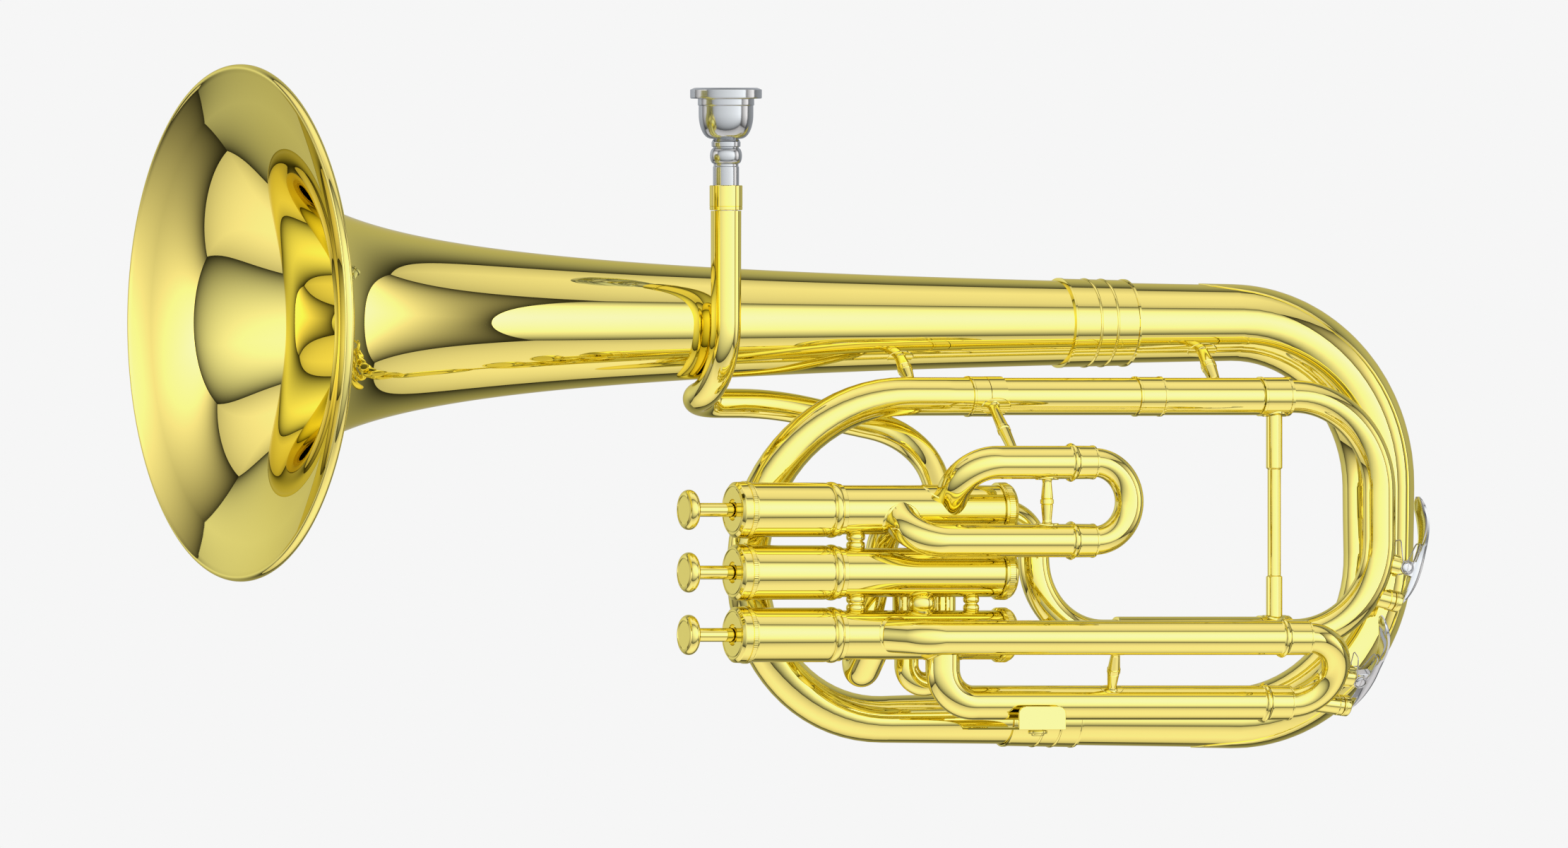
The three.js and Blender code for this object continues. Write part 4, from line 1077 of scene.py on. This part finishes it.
class Channel:
    """A number in the world's node tree, so that sums of such numbers read as plain arithmetic."""

    def __init__(self, tree, socket):
        self.tree, self.socket = tree, socket

    def _apply(self, operation, *others):
        node = self.tree.nodes.new("ShaderNodeMath")
        node.operation = operation
        for place, value in zip(node.inputs, (self, *others)):
            if isinstance(value, Channel):
                self.tree.links.new(value.socket, place)
            else:
                place.default_value = value
        return Channel(self.tree, node.outputs[0])

    def __add__(self, other):
        return self._apply("ADD", other)

    def __sub__(self, other):
        return self._apply("SUBTRACT", other)

    def __mul__(self, other):
        return self._apply("MULTIPLY", other)

    def __truediv__(self, other):
        return self._apply("DIVIDE", other)

    def __pow__(self, other):
        return self._apply("POWER", other)

    def __abs__(self):
        return self._apply("ABSOLUTE")

    def above(self, other):
        return self._apply("GREATER_THAN", other)

    def most(self, other):
        return self._apply("MAXIMUM", other)

    def choose(self, yes, no):
        """yes where this is 1, and no where it is 0."""
        if isinstance(yes, Channel) or isinstance(no, Channel):
            return self * yes - (self - 1) * no
        return self * (yes - no) + no


def make_world():
    """A far-off pale room: each wall brightens from one end to the other, and fades at top and bottom."""
    world = bpy.data.worlds.new("studio")
    bpy.context.scene.world = world
    world.use_nodes = True
    tree = world.node_tree
    nodes, links = tree.nodes, tree.links
    nodes.clear()
    place = nodes.new("ShaderNodeTexCoord")
    turn = nodes.new("ShaderNodeMapping")
    turn.vector_type = "VECTOR"
    turn.inputs["Rotation"].default_value = (0, 0, math.radians(-VIEW_AZIMUTH))
    links.new(place.outputs["Generated"], turn.inputs["Vector"])
    parts = nodes.new("ShaderNodeSeparateXYZ")
    links.new(turn.outputs["Vector"], parts.inputs["Vector"])
    x, y, z = (Channel(tree, parts.outputs[i]) for i in range(3))

    across = (x / ROOM_RIGHT).most(x / -ROOM_LEFT)
    behind = (y + x * BACK_SLANT) / ROOM_BACK
    ahead = y / -ROOM_FRONT
    along = behind.most(ahead)
    rise = (z / ROOM_TOP).most(z / -ROOM_BOTTOM)
    side = across.most(along)
    reach = side.most(rise)
    hit_x, hit_y, hit_z = x / reach, y / reach, z / reach

    width = ROOM_LEFT + ROOM_RIGHT
    right_back = ROOM_BACK - BACK_SLANT * ROOM_RIGHT
    left_back = ROOM_BACK + BACK_SLANT * ROOM_LEFT
    on_right_wall = (hit_y + ROOM_FRONT) / (right_back + ROOM_FRONT)
    on_left_wall = (hit_y - left_back) / -(left_back + ROOM_FRONT)
    on_end_wall = x.above(0).choose(on_right_wall, on_left_wall)
    is_end = across.above(along)
    is_back = behind.above(ahead.most(across))
    share = is_end.choose(on_end_wall, (hit_x + ROOM_LEFT) / width).most(0)
    back_share = ((hit_x - ROOM_RIGHT) / -width).most(0)
    level = is_back.choose(back_share ** BACK_RISE * BACK_LIGHT, share ** WALL_RISE * WALL_LIGHT)
    middle = (ROOM_TOP - ROOM_BOTTOM) / 2
    half_height = (ROOM_TOP + ROOM_BOTTOM) / 2
    fade = abs((hit_z - middle) / half_height) ** FADE_POWER
    wall_light = level * (fade * -1 + 1) + 0.02
    flat_light = (side / reach) ** 1.5 * -0.5 + FLAT_LIGHT
    is_flat = rise.above(side)
    light = is_flat.choose(flat_light, wall_light).most(0.01)

    warm = is_flat.most(is_end)
    tint = nodes.new("ShaderNodeMix")
    tint.data_type = "RGBA"
    tint.inputs[6].default_value = (1.0, 1.0, 1.0, 1)
    tint.inputs[7].default_value = (1.0, 0.94, 0.90, 1)
    links.new(warm.socket, tint.inputs[0])
    room = nodes.new("ShaderNodeBackground")
    links.new(tint.outputs[2], room.inputs["Color"])
    links.new(light.socket, room.inputs["Strength"])
    plain = nodes.new("ShaderNodeBackground")
    plain.inputs["Color"].default_value = PAPER
    path = nodes.new("ShaderNodeLightPath")
    mix = nodes.new("ShaderNodeMixShader")
    links.new(path.outputs["Is Camera Ray"], mix.inputs[0])
    links.new(room.outputs[0], mix.inputs[1])
    links.new(plain.outputs[0], mix.inputs[2])
    out = nodes.new("ShaderNodeOutputWorld")
    links.new(mix.outputs[0], out.inputs["Surface"])


def cap_highlights():
    """Polished metal tops out just under paper white."""
    settings = bpy.context.scene.view_settings
    settings.view_transform = "Standard"
    settings.use_curve_mapping = True
    mapping = settings.curve_mapping
    mapping.extend = "HORIZONTAL"
    mapping.use_clip = False
    curve = mapping.curves[3]
    curve.points[1].location = (BRIGHTEST, BRIGHTEST)
    mapping.update()


make_camera()
make_floor()
make_world()
make_bell()
make_main_tubing()
make_tuning_slide()
make_mouthpipe()
for valve_number in range(3):
    make_valve(valve_number)
make_casing_links()
make_first_slide()
make_second_slide()
make_third_slide()
make_outlet_tube()
make_stays()
make_finger_plate()
make_water_keys()

for node_name, cad_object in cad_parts.items():
    if node_name.endswith("_piston"):
        cad_object.data.materials.clear()
        cad_object.data.materials.append(STEEL)

cap_highlights()
